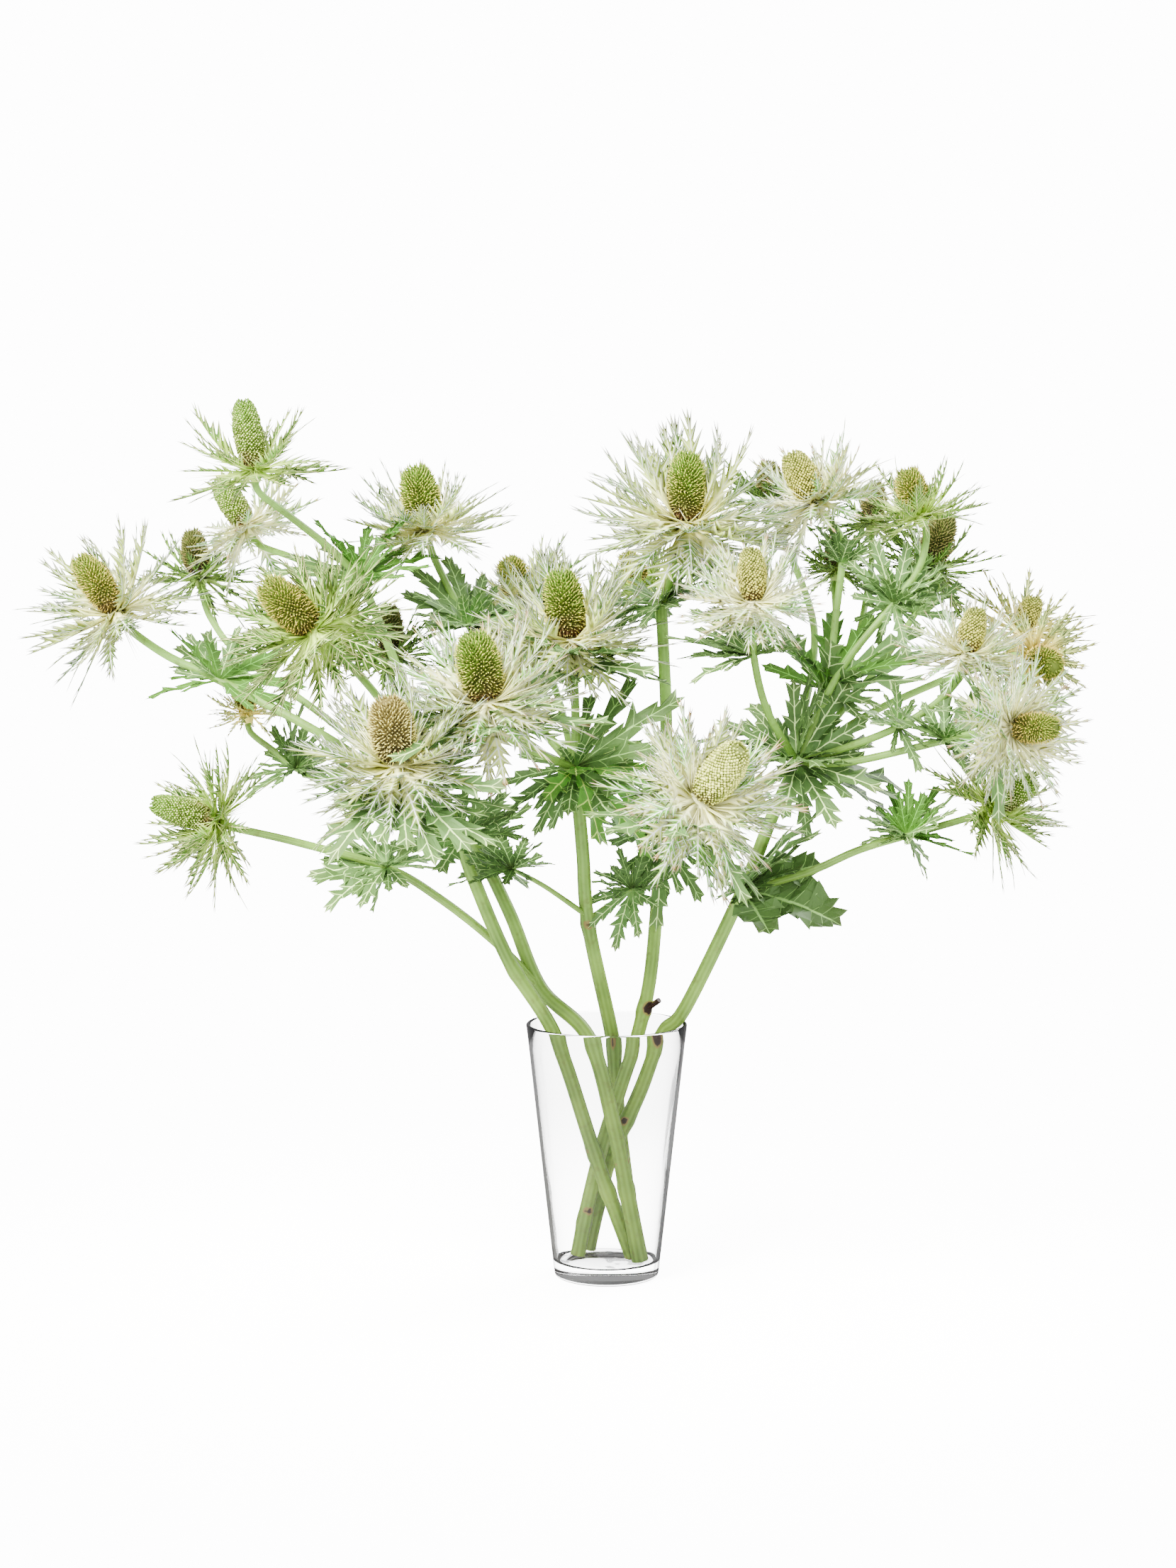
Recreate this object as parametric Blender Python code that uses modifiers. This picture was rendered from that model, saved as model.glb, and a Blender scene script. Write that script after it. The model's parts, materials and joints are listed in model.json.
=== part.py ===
"""Sea holly: five cut stems with their spiny flower heads, standing dry in a clear glass tumbler.

The tumbler rests on z = 0 with its axis on the Z axis. +X runs to the right and the front view looks
along +Y. Every size and place below is in millimetres. Each mesh is turned into metres as it is made.
"""

import math
import random

import bmesh
import bpy
from mathutils import Matrix, Vector
from mathutils.bvhtree import BVHTree

MM = 0.001  # metres in a millimetre
GAP = 0.35  # left between neighbours that touch on the real flowers
WELD = 0.002  # points nearer than this are one
ROOM = 0.6  # extra size of a blade while its neighbours are tested

# The tumbler: a straight cone with a thick flat bottom.
GLASS_HEIGHT = 140.0
GLASS_FOOT = 28.5
GLASS_RIM = 44.0
GLASS_WALL = 1.9
GLASS_FLOOR = 9.0
GLASS_ROUND = 1.2  # of the rim, and of the corner where the inner wall meets the floor
GLASS_HEEL = (1.8, 3.0)  # the rounded edge of the foot: its width and height
GLASS_STEPS = 28
SMOOTH_BELOW = 35  # degrees between facets that are shaded as one surface
STEM_FOOT_Z = GLASS_FLOOR + 1.65  # centre of a leaning stem's cut end

# Thicknesses of the thin parts, each at its midrib.
BRACT_THICK = 1.7
LEAF_THICK = 1.8
LONGEST_RUN = 60.0  # between two rings of a stem

# A flower head: a cone of florets above a collar, from which the bracts spread.
COLLAR_SHARE = 0.6  # of the cone's radius, which the collar takes, and the margin added to it
COLLAR_MARGIN = 1.0
COLLAR_BELOW = 1.8
COLLAR_ABOVE = 1.2
COLLAR_TAPER = 0.94  # of the rim's lower edge
NECK = 9.0  # straight length of stem under the collar
SUNK = 1.05  # depth of a one-piece head's cone in its collar
FLORET_RELIEF = 0.11
CONE_SHOULDER = 0.7  # under 1 squares the shoulders of the egg
CONE_TAPER = 0.22  # how much slimmer the cone gets towards its top
BRACT_TILTS = (44.0, 86.0, 64.0, 100.0)  # degrees from the head's axis, taken in turn round the collar
BRACT_BEND = (8.0, -12.0)  # degrees added to the tilt at the bract's root and at its tip
BRACT_CUP = 0.25  # how far a bract's sides rise for each millimetre of width
LEAF_FOLD = 0.3  # the same for a leaf
FULL_HEAD = 12  # a head with this many bracts or more stands in front, and is the finer one
FINE_CONE = (9, 7)  # columns and rings of florets
PLAIN_CONE = (8, 6)

# Half outlines, from the root to the tip, as shares of the length: (along, across).
# Each outline comes with its midrib's points: (the outline point at which it takes over, along).
FINE_BRACT = (
    ((0, 0.030), (0.28, 0.115), (0.33, 0.045), (0.58, 0.115), (0.65, 0.035), (1, 0)),
    ((0, 0.16), (2, 0.56)),
)
PLAIN_BRACT = (
    ((0, 0.030), (0.46, 0.120), (0.54, 0.050), (1, 0)),
    ((0, 0.18), (1, 0.53)),
)
LANCE_OUTLINE = ((0, 0.030), (0.40, 0.150), (0.47, 0.080), (1, 0))
LOBED_OUTLINE = ((0, 0.030), (0.13, 0.290), (0.33, 0.120), (0.50, 0.390), (0.58, 0.130), (1, 0))
ROUND_OUTLINE = (
    (0, 0.030), (0.16, 0.260), (0.36, 0.360), (0.60, 0.350), (0.66, 0.280), (0.90, 0.150), (1, 0),
)
LEAF_RIBS = ((0, 0.12), (1, 0.45))

# Stems, from the cut end up: radius at the start and at the end, and the route's points.
# The first route of each is its main stem. The others grow out of it or of one another.
STEMS = {
    "stem_1": (
        (3.9, 3.4, ((14, -2, STEM_FOOT_Z), (3, -5, 41), (-8, -8, 73), (-28, -14, 135), (-53, -14, 176),
                    (-72, -16, 221), (-79, -18, 242))),
        (2.9, 2.5, ((-79, -18, 242), (-94, -4, 285), (-111, 6, 327), (-133, 6, 382))),
        (2.3, 2.0, ((-133, 6, 382), (-151, 0, 400), (-173, -8, 418), "head_01")),
        (2.2, 1.9, ((-133, 6, 382), (-151, 20, 386), (-175, 45, 394), "head_02")),
        (2.7, 2.4, ((-79, -18, 242), (-113, -16, 271), (-151, -8, 297), (-211, 10, 327), (-240, 17, 340),
                    "head_04")),
        (2.5, 2.2, ((-79, -18, 242), (-100, -36, 288), (-122, -50, 323), "head_05")),
        (2.4, 1.9, ((-79, -18, 242), (-103, 6, 244), (-131, 26, 256), (-173, 46, 276), (-187, 52, 286),
                    "head_26")),
        (2.6, 2.4, ((-79, -18, 242), (-90, -50, 254), (-99, -86, 268), "head_11")),
    ),
    "stem_2": (
        (4.3, 3.2, ((18, -10, STEM_FOOT_Z), (11, -12, 48), (4, -14, 85), (-10, -12, 134), (-36, 2, 159),
                    (-53, 8, 199), (-72, 14, 238))),
        (2.7, 2.2, ((-36, 2, 159), (-61, -2, 185), (-90, -14, 210), (-118, -24, 228), (-165, -36, 243),
                    "head_25")),
        (2.5, 2.0, ((-72, 14, 238), (-116, 34, 271), (-157, 60, 303), (-209, 95, 337), (-227, 110, 356),
                    "head_03")),
        (2.3, 1.9, ((-72, 14, 238), (-101, 40, 278), (-116, 52, 312), "head_06")),
    ),
    "stem_3": (
        (4.1, 3.3, ((17, 12, STEM_FOOT_Z), (12, 18, 41), (8, 24, 73), (5, 26, 107), (3, 25, 130),
                    (-10, 12, 193), (-13, 4, 234), (-17, -8, 280))),
        (2.7, 2.3, ((-17, -8, 280), (-17, -4, 312), "head_09")),
        (2.6, 2.3, ((-17, -8, 280), (-38, -42, 292), (-53, -70, 302), "head_10")),
        (2.4, 2.0, ((-17, -8, 280), (-27, 42, 316), "head_28")),
        (2.5, 2.2, ((-17, -8, 280), (-53, 24, 320), (-76, 38, 356), (-89, 40, 380), "head_07")),
        (1.7, 1.3, ((-11, 10, 198), (-34, -6, 216), (-51, -14, 226))),
        (1.5, 1.3, ((-11, 11, 195), (2, 12, 204), (14, 11, 212))),
    ),
    "stem_4": (
        (3.9, 3.0, ((-16, 0, STEM_FOOT_Z), (-10, 3, 40), (-3, 6, 70), (9, 8, 107), (17, 12, 131),
                    (24, 20, 162), (28, 26, 204), (32, 30, 259), (33, 32, 303), (31, 30, 349),
                    (30, 24, 368))),
        (2.8, 2.4, ((30, 24, 368), (35, 12, 382), "head_08")),
        (2.0, 1.8, ((31, 29, 352), (29, 58, 360), "head_27")),
    ),
    "stem_5": (
        (3.9, 3.2, ((-10, 17, STEM_FOOT_Z), (-4, 16, 38), (2, 14, 62), (19, 13, 101), (31, 9, 133),
                    (43, 2, 148), (73, -14, 214), (89, -20, 256), (102, -20, 284))),
        (2.4, 2.1, ((102, -20, 284), (107, 12, 305), (117, 68, 356), "head_24")),
        (2.4, 2.1, ((102, -20, 284), (119, 8, 322), (127, 32, 366), (131, 46, 402), "head_13")),
        (2.3, 2.0, ((102, -20, 284), (84, -46, 314), (76, -64, 343), "head_14")),
        (2.3, 2.0, ((102, -20, 284), (125, -10, 332), (154, -8, 369), (167, -10, 387), "head_15")),
        (2.2, 1.9, ((102, -20, 284), (125, 12, 306), (153, 38, 336), (173, 58, 362), "head_17")),
        (2.2, 1.9, ((107, 12, 305), (138, 70, 336), (153, 116, 382), "head_16")),
        (2.0, 1.8, ((119, 8, 322), (129, 62, 350), "head_18")),
        (2.3, 2.0, ((102, -20, 284), (129, -34, 294), (153, -46, 305), (172, -54, 318), "head_19")),
        (2.3, 2.0, ((102, -20, 284), (140, 0, 308), (189, 26, 328), (213, 36, 336), "head_20")),
        (2.0, 1.8, ((189, 26, 328), (211, 12, 336), "head_21")),
        (2.3, 2.0, ((102, -20, 284), (129, -38, 286), (176, -62, 299), "head_22")),
        (2.4, 2.0, ((73, -14, 214), (108, -26, 226), (134, -30, 238), (160, -30, 246), "head_23")),
        (2.4, 2.1, ((73, -14, 214), (62, -50, 238), (48, -78, 254), "head_12")),
    ),
}

# Knuckles where leaves and branches left the main stems: heights and swelling.
KNUCKLES = {
    "stem_1": ((48, 1.16), (70, 1.22), (170, 1.15)),
    "stem_2": ((50, 1.16), (129, 1.2)),
    "stem_3": ((120, 1.2), (193, 1.2)),
    "stem_4": ((30, 1.16), (145, 1.24)),
    "stem_5": ((84, 1.16), (126, 1.2)),
}
KNUCKLE_HALF = 4.0
WHORL_RADIUS = 5.5  # of the swollen ends of the main stems, from which branches and leaves spread
SPUR = ("stem_4", ((23, 15, 146), (29, 10, 151)), 1.7)  # the stub of a branch that was broken off

# Flower heads: place of the collar's middle, aim, the cone's radius and length, the bracts' reach,
# and how many bracts. They run from the front of the bunch to its back, the order in which they find room.
HEADS = {
    "head_11": ((-106, -110, 290), (-0.16, -0.18, 0.97), 11.4, 35, 56, 13),
    "head_12": ((47, -100, 271), (0.52, -0.42, 0.74), 10.9, 38, 55, 13),
    "head_10": ((-62, -85, 320), (-0.20, -0.10, 0.97), 11.3, 37, 59, 13),
    "head_05": ((-152, -70, 357), (-0.68, -0.26, 0.68), 10.0, 36, 54, 12),
    "head_22": ((207, -90, 307), (0.77, -0.62, 0.06), 7.4, 26, 44, 11),
    "head_14": ((75, -76, 371), (-0.06, -0.10, 0.99), 7.4, 28, 42, 12),
    "head_19": ((187, -61, 344), (0.20, -0.12, 0.97), 7.0, 24, 37, 11),
    "head_08": ((43, -10, 412), (-0.01, -0.02, 1.0), 9.8, 38, 65, 13),
    "head_09": ((-20, 5, 349), (-0.15, 0.0, 0.99), 11.0, 38, 60, 13),
    "head_01": ((-188, -15, 440), (-0.16, -0.04, 0.99), 8.0, 38, 49, 12),
    "head_04": ((-268, 20, 364), (-0.57, 0.0, 0.82), 8.5, 37, 57, 12),
    "head_25": ((-207, -40, 254), (-0.95, -0.08, 0.30), 7.6, 36, 47, 11),
    "head_23": ((205, -30, 262), (0.83, -0.16, 0.52), 8.0, 27, 46, 11),
    "head_15": ((168, -10, 416), (-0.30, 0.0, 0.95), 8.0, 26, 40, 10),
    "head_21": ((229, -16, 341), (0.30, -0.90, -0.20), 8.0, 24, 35, 10),
    "head_07": ((-99, 40, 408), (-0.20, 0.08, 0.97), 10.5, 37, 52, 12),
    "head_13": ((117, 50, 424), (-0.48, 0.10, 0.87), 9.5, 31, 50, 12),
    "head_20": ((230, 40, 353), (0.40, 0.15, 0.90), 6.5, 20, 44, 9),
    "head_02": ((-201, 65, 410), (-0.53, 0.20, 0.81), 7.8, 33, 43, 11),
    "head_17": ((182, 70, 387), (0.30, 0.15, 0.94), 8.8, 34, 45, 9),
    "head_06": ((-121, 60, 339), (-0.04, 0.12, 0.99), 7.0, 28, 38, 10),
    "head_26": ((-202, 60, 306), (-0.20, 0.28, 0.94), 5.5, 16, 27, 8),
    "head_03": ((-236, 122, 381), (-0.18, 0.20, 0.95), 7.5, 29, 42, 10),
    "head_27": ((22, 90, 377), (-0.50, 0.20, 0.85), 6.5, 22, 33, 8),
    "head_28": ((-47, 95, 368), (-0.34, 0.34, 0.87), 9.0, 28, 47, 10),
    "head_24": ((96, 114, 427), (-0.12, 0.30, 0.94), 7.5, 22, 40, 9),
    "head_18": ((132, 108, 386), (0.03, 0.22, 0.97), 6.0, 20, 31, 7),
    "head_16": ((156, 132, 412), (0.08, 0.28, 0.95), 7.0, 26, 38, 9),
}
# Small heads at the back, with cone and bracts in one solid.
ONE_PIECE_HEADS = ("head_16", "head_18", "head_24", "head_28")

# Leaves: the stem, the point of it that they grow from, and each leaf's outline and tip.
LEAVES = (
    ("stem_1", (-133, 6, 382), (
        ("lobed", (-154, -24, 411)), ("lobed", (-177, -14, 384)), ("lance", (-130, 30, 410)),
    )),
    ("stem_1", (-211, 10, 327), (
        ("lobed", (-231, -14, 354)), ("lobed", (-222, 37, 352)), ("lance", (-249, -8, 318)),
    )),
    ("stem_1", (-173, 46, 276), (
        ("lobed", (-197, 24, 262)), ("lance", (-145, 18, 268)), ("lobed", (-170, 68, 300)),
    )),
    ("stem_1", (-79, -18, 242), (
        ("lance", (-46, -38, 247)), ("lobed", (-112, -52, 238)), ("lance", (-58, -44, 270)),
    )),
    ("stem_2", (-118, -24, 228), (
        ("lobed", (-153, -44, 222)), ("lobed", (-150, -52, 208)), ("lance", (-128, -6, 200)),
        ("lance", (-142, -8, 256)),
    )),
    ("stem_2", (-72, 14, 238), (
        ("lobed", (-54, 44, 262)), ("lobed", (-76, 52, 222)), ("lance", (-110, 18, 232)),
    )),
    ("stem_3", (-76, 38, 356), (
        ("lobed", (-107, 44, 386)), ("lance", (-108, 66, 362)), ("lobed", (-62, 62, 376)),
    )),
    ("stem_3", (-17, -8, 280), (
        ("lobed", (-56, -22, 254)), ("lance", (-41, -34, 247)), ("lance", (-30, -4, 246)),
        ("lobed", (1, -44, 258)), ("lobed", (38, -20, 316)), ("lance", (-8, -56, 306)),
    )),
    ("stem_3", (-51, -14, 226), (
        ("lobed", (-60, -40, 246)),
    )),
    ("stem_3", (14, 11, 212), (
        ("lance", (34, -10, 220)),
    )),
    ("stem_4", (30, 28, 238), (
        ("lance", (11, 26, 190)), ("lance", (24, 12, 190)), ("lance", (48, 6, 206)),
        ("lobed", (64, 14, 230)), ("lobed", (8, 14, 262)), ("lobed", (40, 66, 250)),
    )),
    ("stem_4", (30, 24, 368), (
        ("lance", (66, 16, 394)), ("lobed", (60, -4, 372)), ("lance", (6, 34, 384)),
    )),
    ("stem_5", (73, -14, 214), (
        ("round", (127, -34, 198)), ("lobed", (112, -60, 250)), ("lance", (92, -62, 236)),
        ("lobed", (92, 24, 222)),
    )),
    ("stem_5", (102, -20, 284), (
        ("lobed", (80, -70, 286)), ("lobed", (122, -60, 252)), ("lobed", (160, 2, 270)),
        ("lance", (150, -10, 258)), ("lance", (108, -6, 244)), ("lobed", (80, 24, 298)),
    )),
    ("stem_5", (119, 8, 322), (
        ("lance", (165, -24, 337)),
    )),
    ("stem_5", (76, -64, 343), (
        ("lobed", (34, -54, 352)), ("lance", (46, -36, 368)), ("lance", (98, -78, 346)),
    )),
    ("stem_5", (130, 42, 390), (
        ("lance", (114, 28, 412)), ("lance", (144, 48, 408)),
    )),
    ("stem_5", (154, -8, 369), (
        ("lance", (134, -6, 395)), ("lance", (147, -28, 390)), ("lobed", (183, -18, 374)),
        ("lance", (159, -28, 340)),
    )),
    ("stem_5", (176, -62, 299), (
        ("lobed", (196, -56, 328)), ("lance", (178, -46, 322)), ("lance", (184, -80, 284)),
        ("lobed", (196, -56, 280)),
    )),
    ("stem_5", (160, -30, 246), (
        ("lance", (176, -12, 270)), ("lobed", (185, -52, 262)), ("lance", (196, -42, 236)),
        ("lobed", (172, -26, 222)), ("lance", (158, -36, 276)),
    )),
    ("stem_5", (153, -46, 305), (
        ("lance", (162, -70, 284)),
    )),
    ("stem_5", (173, 58, 362), (
        ("lobed", (150, 76, 384)),
    )),
)
# The way a leaf's upper face turns: up and a little to the front, or to the front on a steep leaf.
FACE_UP = Vector((0, -0.45, 1))
FACE_FRONT = Vector((0, -1, 0.2))
STEEP = 0.9
LEAF_SWINGS = ((0, 0, 0), (0, -7, 0), (0, 7, 0), (0, 0, -8), (7, 0, 3), (-7, 0, 3))
OUTLINES = {"lance": LANCE_OUTLINE, "lobed": LOBED_OUTLINE, "round": ROUND_OUTLINE}

# Colours: base colour, roughness and how much light passes through.
MATERIALS = {
    "glass": ((0.86, 0.92, 0.92), 0.05, 1.0),
    "stem_green": ((0.42, 0.50, 0.24), 0.6, 0.0),
    "ruff_silver": ((0.62, 0.66, 0.58), 0.6, 0.0),
    "ruff_green": ((0.24, 0.32, 0.15), 0.6, 0.0),
    "cone_green": ((0.48, 0.52, 0.30), 0.75, 0.0),
    "cone_brown": ((0.30, 0.22, 0.11), 0.75, 0.0),
}
DARK_RUFFS = (
    "head_03", "head_06", "head_15", "head_16", "head_17",
    "head_18", "head_20", "head_24", "head_26", "head_27",
)
BROWN_CONES = ("head_04", "head_07", "head_11", "head_16", "head_17", "head_18", "head_24")


def clear_scene():
    for obj in list(bpy.data.objects):
        bpy.data.objects.remove(obj)


def new_material(name):
    colour, roughness, clear = MATERIALS[name]
    material = bpy.data.materials.new(name)
    material.use_nodes = True
    shader = material.node_tree.nodes["Principled BSDF"]
    shader.inputs["Base Color"].default_value = (*colour, 1)
    shader.inputs["Roughness"].default_value = roughness
    shader.inputs["Metallic"].default_value = 0
    shader.inputs["Transmission Weight"].default_value = clear
    return material


def new_object(name, mesh):
    obj = bpy.data.objects.new(name, mesh)
    flowers.objects.link(obj)
    return obj


def mesh_from(name, points, faces):
    """A mesh object from points in millimetres."""
    mesh = bpy.data.meshes.new(name)
    mesh.from_pydata([Vector(point) * MM for point in points], [], faces)
    return new_object(name, mesh)


def drop_scraps(shape):
    """Keeps the largest shell of a bmesh, so that what a union seals in or cuts loose is gone."""
    left, shells = set(shape.faces), []
    while left:
        shell, edge = set(), [left.pop()]
        while edge:
            face = edge.pop()
            shell.add(face)
            touching = {other for side in face.edges for other in side.link_faces} & left
            left -= touching
            edge += touching
        shells.append(shell)
    largest = max(shells, key=lambda shell: sum(face.calc_area() for face in shell))
    scraps = [face for face in shape.faces if face not in largest]
    bmesh.ops.delete(shape, geom=scraps, context="FACES")


def finished(name, source, material):
    """The object as its modifiers leave it, as one plain mesh with its material. The source is removed."""
    bpy.context.view_layer.update()
    evaluated = source.evaluated_get(bpy.context.evaluated_depsgraph_get())
    mesh = bpy.data.meshes.new_from_object(evaluated)
    place = source.matrix_world.copy()
    bpy.data.objects.remove(source)
    weld = bmesh.new()
    weld.from_mesh(mesh)
    bmesh.ops.remove_doubles(weld, verts=weld.verts, dist=WELD * MM)
    drop_scraps(weld)
    bmesh.ops.recalc_face_normals(weld, faces=weld.faces)
    weld.to_mesh(mesh)
    weld.free()
    mesh.name = name
    mesh.materials.clear()
    mesh.materials.append(material)
    obj = new_object(name, mesh)
    obj.matrix_world = place
    return obj


def fused(name, pieces, material):
    """One solid from closed pieces that overlap: a Boolean union on a collection, applied."""
    group = bpy.data.collections.new(name + "_pieces")
    for piece in pieces[1:]:
        group.objects.link(piece)
    union = pieces[0].modifiers.new("Union", "BOOLEAN")
    union.operation = "UNION"
    union.operand_type = "COLLECTION"
    union.collection = group
    solid = finished(name, pieces[0], material)
    for piece in pieces[1:]:
        bpy.data.objects.remove(piece)
    bpy.data.collections.remove(group)
    return solid


# What is already in place, for the blades that have to keep clear of it: node name to shapes.
taken = {}


def extent(points):
    low = Vector(min(point[axis] for point in points) for axis in range(3))
    high = Vector(max(point[axis] for point in points) for axis in range(3))
    return low, high


def take(node, points, faces):
    taken.setdefault(node, []).append((*extent(points), BVHTree.FromPolygons(points, faces)))


def take_object(node, obj):
    points = [obj.matrix_world @ vertex.co / MM for vertex in obj.data.vertices]
    take(node, points, [tuple(face.vertices) for face in obj.data.polygons])


def is_free(points, faces, skip=()):
    """True if the shape crosses nothing in place, apart from the nodes to skip."""
    low, high = extent(points)
    tree = BVHTree.FromPolygons(points, faces)
    for node, shapes in taken.items():
        if node in skip:
            continue
        for other_low, other_high, other in shapes:
            apart = any(low[i] > other_high[i] or high[i] < other_low[i] for i in range(3))
            if not apart and tree.overlap(other):
                return False
    return True


def smooth_route(points):
    """Points of a Catmull-Rom curve through the given ones, no further apart than LONGEST_RUN."""
    through = [Vector(point) for point in points]
    ends = [2 * through[0] - through[1], *through, 2 * through[-1] - through[-2]]
    route = []
    for a, b, c, d in zip(ends, ends[1:], ends[2:], ends[3:]):
        steps = math.ceil((c - b).length / LONGEST_RUN)
        for step in range(steps):
            t = step / steps
            bend = (2 * a - 5 * b + 4 * c - d) * t**2 + (3 * b - a - 3 * c + d) * t**3
            route.append(0.5 * (2 * b + (c - a) * t + bend))
    return [*route, through[-1]]


def tube(name, points, radii):
    """A six-sided stem along the points, closed at both ends."""
    curve = bpy.data.curves.new(name, "CURVE")
    curve.dimensions = "3D"
    curve.bevel_depth = MM
    curve.bevel_resolution = 1
    curve.use_fill_caps = True
    spline = curve.splines.new("POLY")
    spline.points.add(len(points) - 1)
    for knot, point, radius in zip(spline.points, points, radii):
        knot.co = (*(point * MM), 1)
        knot.radius = radius
    return finished(name, new_object(name, curve), materials["stem_green"])


def tapered(points, start_radius, end_radius):
    last = len(points) - 1
    return [start_radius + (end_radius - start_radius) * index / last for index in range(last + 1)]


def blade(outline, ribs, thickness, place, grow=0.0):
    """Points and faces of a closed blade with a sharp edge round a thicker midrib.

    outline holds the left half, root to tip. ribs holds the midrib's points, each with the outline
    point at which it takes over. place turns (along, across, lift) into a point, and grow swells it.
    """
    last = len(outline) - 1
    left = [place(along, across, 0.0, grow) for along, across in outline]
    right = [place(along, -across, 0.0, grow) for along, across in outline[:-1]]
    half = (thickness + grow) / 2
    upper = [place(along, 0.0, half, grow) for _, along in ribs]
    lower = [place(along, 0.0, -half, grow) for _, along in ribs]
    points = left + right + upper + lower
    right_index = [last + 1 + i for i in range(last)] + [last]
    top = len(left) + len(right)
    faces = []
    for side in (top, top + len(ribs)):
        half_faces = [(side, 0, right_index[0])]
        rib = 0
        for i in range(last):
            if rib + 1 < len(ribs) and ribs[rib + 1][0] == i:
                half_faces.append((side + rib, side + rib + 1, i))
                half_faces.append((side + rib + 1, side + rib, right_index[i]))
                rib += 1
            half_faces.append((side + rib, i + 1, i))
            half_faces.append((side + rib, right_index[i], right_index[i + 1]))
        faces += half_faces if side == top else [face[::-1] for face in half_faces]
    return points, faces


def bract_shape(name, turn, tilt, length, grow=0.0):
    """One bract: it leaves the collar's rim at the tilt from the head's axis, and curves up outwards."""
    frame, start = head_frame(name), collar_radius(name)
    side = Vector((-math.sin(turn), math.cos(turn), 0))
    out = Vector((math.cos(turn), math.sin(turn), 0))
    first, final = (math.radians(tilt + bend) for bend in BRACT_BEND)
    outline, ribs = bract_outline(name)

    def place(along, across, lift, more):
        angle = first + (final - first) * along / 2
        heading = out * math.sin(angle) + Vector((0, 0, math.cos(angle)))
        facing = out * -math.cos(angle) + Vector((0, 0, math.sin(angle)))
        reach = along * (length + more)
        width = across * length + math.copysign(more / 2, across) * (across != 0)
        cup = abs(across) * length * BRACT_CUP
        return frame @ (out * start + heading * reach + side * width + facing * (lift + cup))

    return blade(outline, ribs, BRACT_THICK, place, grow)


def leaf_shape(kind, root, tip, roll, arch, grow=0.0):
    """One leaf between its root and its tip, arched, and folded a little along its midrib."""
    root, tip = Vector(root), Vector(tip)
    length = (tip - root).length
    along_axis = (tip - root) / length
    facing = FACE_UP if abs(along_axis.z) < STEEP else FACE_FRONT
    across_axis = facing.cross(along_axis).normalized()
    across_axis = Matrix.Rotation(roll, 3, along_axis) @ across_axis
    lift_axis = along_axis.cross(across_axis)

    def place(along, across, lift, more):
        reach = along * (length + more)
        width = across * length + math.copysign(more / 2, across) * (across != 0)
        rise = lift + abs(across) * length * LEAF_FOLD + arch * length * along * (1 - along)
        return root + along_axis * reach + across_axis * width + lift_axis * rise

    return blade(OUTLINES[kind], LEAF_RIBS, LEAF_THICK, place, grow)


def head_frame(name):
    """The head's own axes: origin in the collar's middle, Z along its aim."""
    seat, aim = Vector(HEADS[name][0]), Vector(HEADS[name][1]).normalized()
    return Matrix.Translation(seat) @ aim.to_track_quat("Z", "Y").to_matrix().to_4x4()


def make_glass():
    """The tumbler as a turned profile: up its inner wall, over the rim and down its outer wall."""
    lean = (GLASS_RIM - GLASS_FOOT) / GLASS_HEIGHT
    inner_foot = GLASS_FOOT + lean * GLASS_FLOOR - GLASS_WALL - GLASS_ROUND
    heel_width, heel_height = GLASS_HEEL
    profile = (
        (0, GLASS_FLOOR),
        (inner_foot, GLASS_FLOOR),
        (GLASS_RIM - GLASS_WALL, GLASS_HEIGHT - GLASS_ROUND),
        (GLASS_RIM - GLASS_WALL / 2, GLASS_HEIGHT),
        (GLASS_RIM, GLASS_HEIGHT - GLASS_ROUND),
        (GLASS_FOOT + lean * heel_height, heel_height),
        (GLASS_FOOT - heel_width, 0),
        (0, 0),
    )
    mesh = bpy.data.meshes.new("vase")
    sides = [(i, i + 1) for i in range(len(profile) - 1)]
    mesh.from_pydata([(x * MM, 0, z * MM) for x, z in profile], sides, [])
    source = new_object("vase_profile", mesh)
    screw = source.modifiers.new("Turn", "SCREW")
    screw.steps = screw.render_steps = GLASS_STEPS
    screw.use_merge_vertices = True
    screw.merge_threshold = WELD * MM
    glass = finished("vase", source, materials["glass"])
    glass.data.shade_smooth()
    glass.data.set_sharp_from_angle(angle=math.radians(SMOOTH_BELOW))
    take_object("vase", glass)


def route_points(route):
    """The route, with the name of a head at its end replaced by a straight neck under that head's collar."""
    if isinstance(route[-1], str):
        frame = head_frame(route[-1])
        top = -COLLAR_BELOW - GAP
        route = (*route[:-1], frame @ Vector((0, 0, top - NECK)), frame @ Vector((0, 0, top)))
    return smooth_route(route)


def swollen(points, radii, height, swelling):
    """The points and radii of a main stem with the three rings of a knuckle in them, from its foot up."""
    rows = list(zip(points, radii))
    for (low, radius), (high, _) in zip(rows, rows[1:]):
        if low.z <= height < high.z:
            middle = low.lerp(high, (height - low.z) / (high.z - low.z))
            half = (high - low).normalized() * KNUCKLE_HALF
            rings = [(middle - half, radius), (middle, radius * swelling), (middle + half, radius)]
    rows = [row for row in rows if abs(row[0].z - height) > KNUCKLE_HALF + 1] + rings
    return zip(*sorted(rows, key=lambda row: row[0].z))


def whorl_piece(stem):
    """The swollen top of a main stem."""
    mesh = bpy.data.meshes.new(stem)
    shape = bmesh.new()
    bmesh.ops.create_uvsphere(shape, u_segments=8, v_segments=5, radius=WHORL_RADIUS * MM)
    shape.transform(Matrix.Translation(Vector(STEMS[stem][0][2][-1]) * MM))
    shape.to_mesh(mesh)
    shape.free()
    return new_object(f"{stem}_whorl", mesh)


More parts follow.
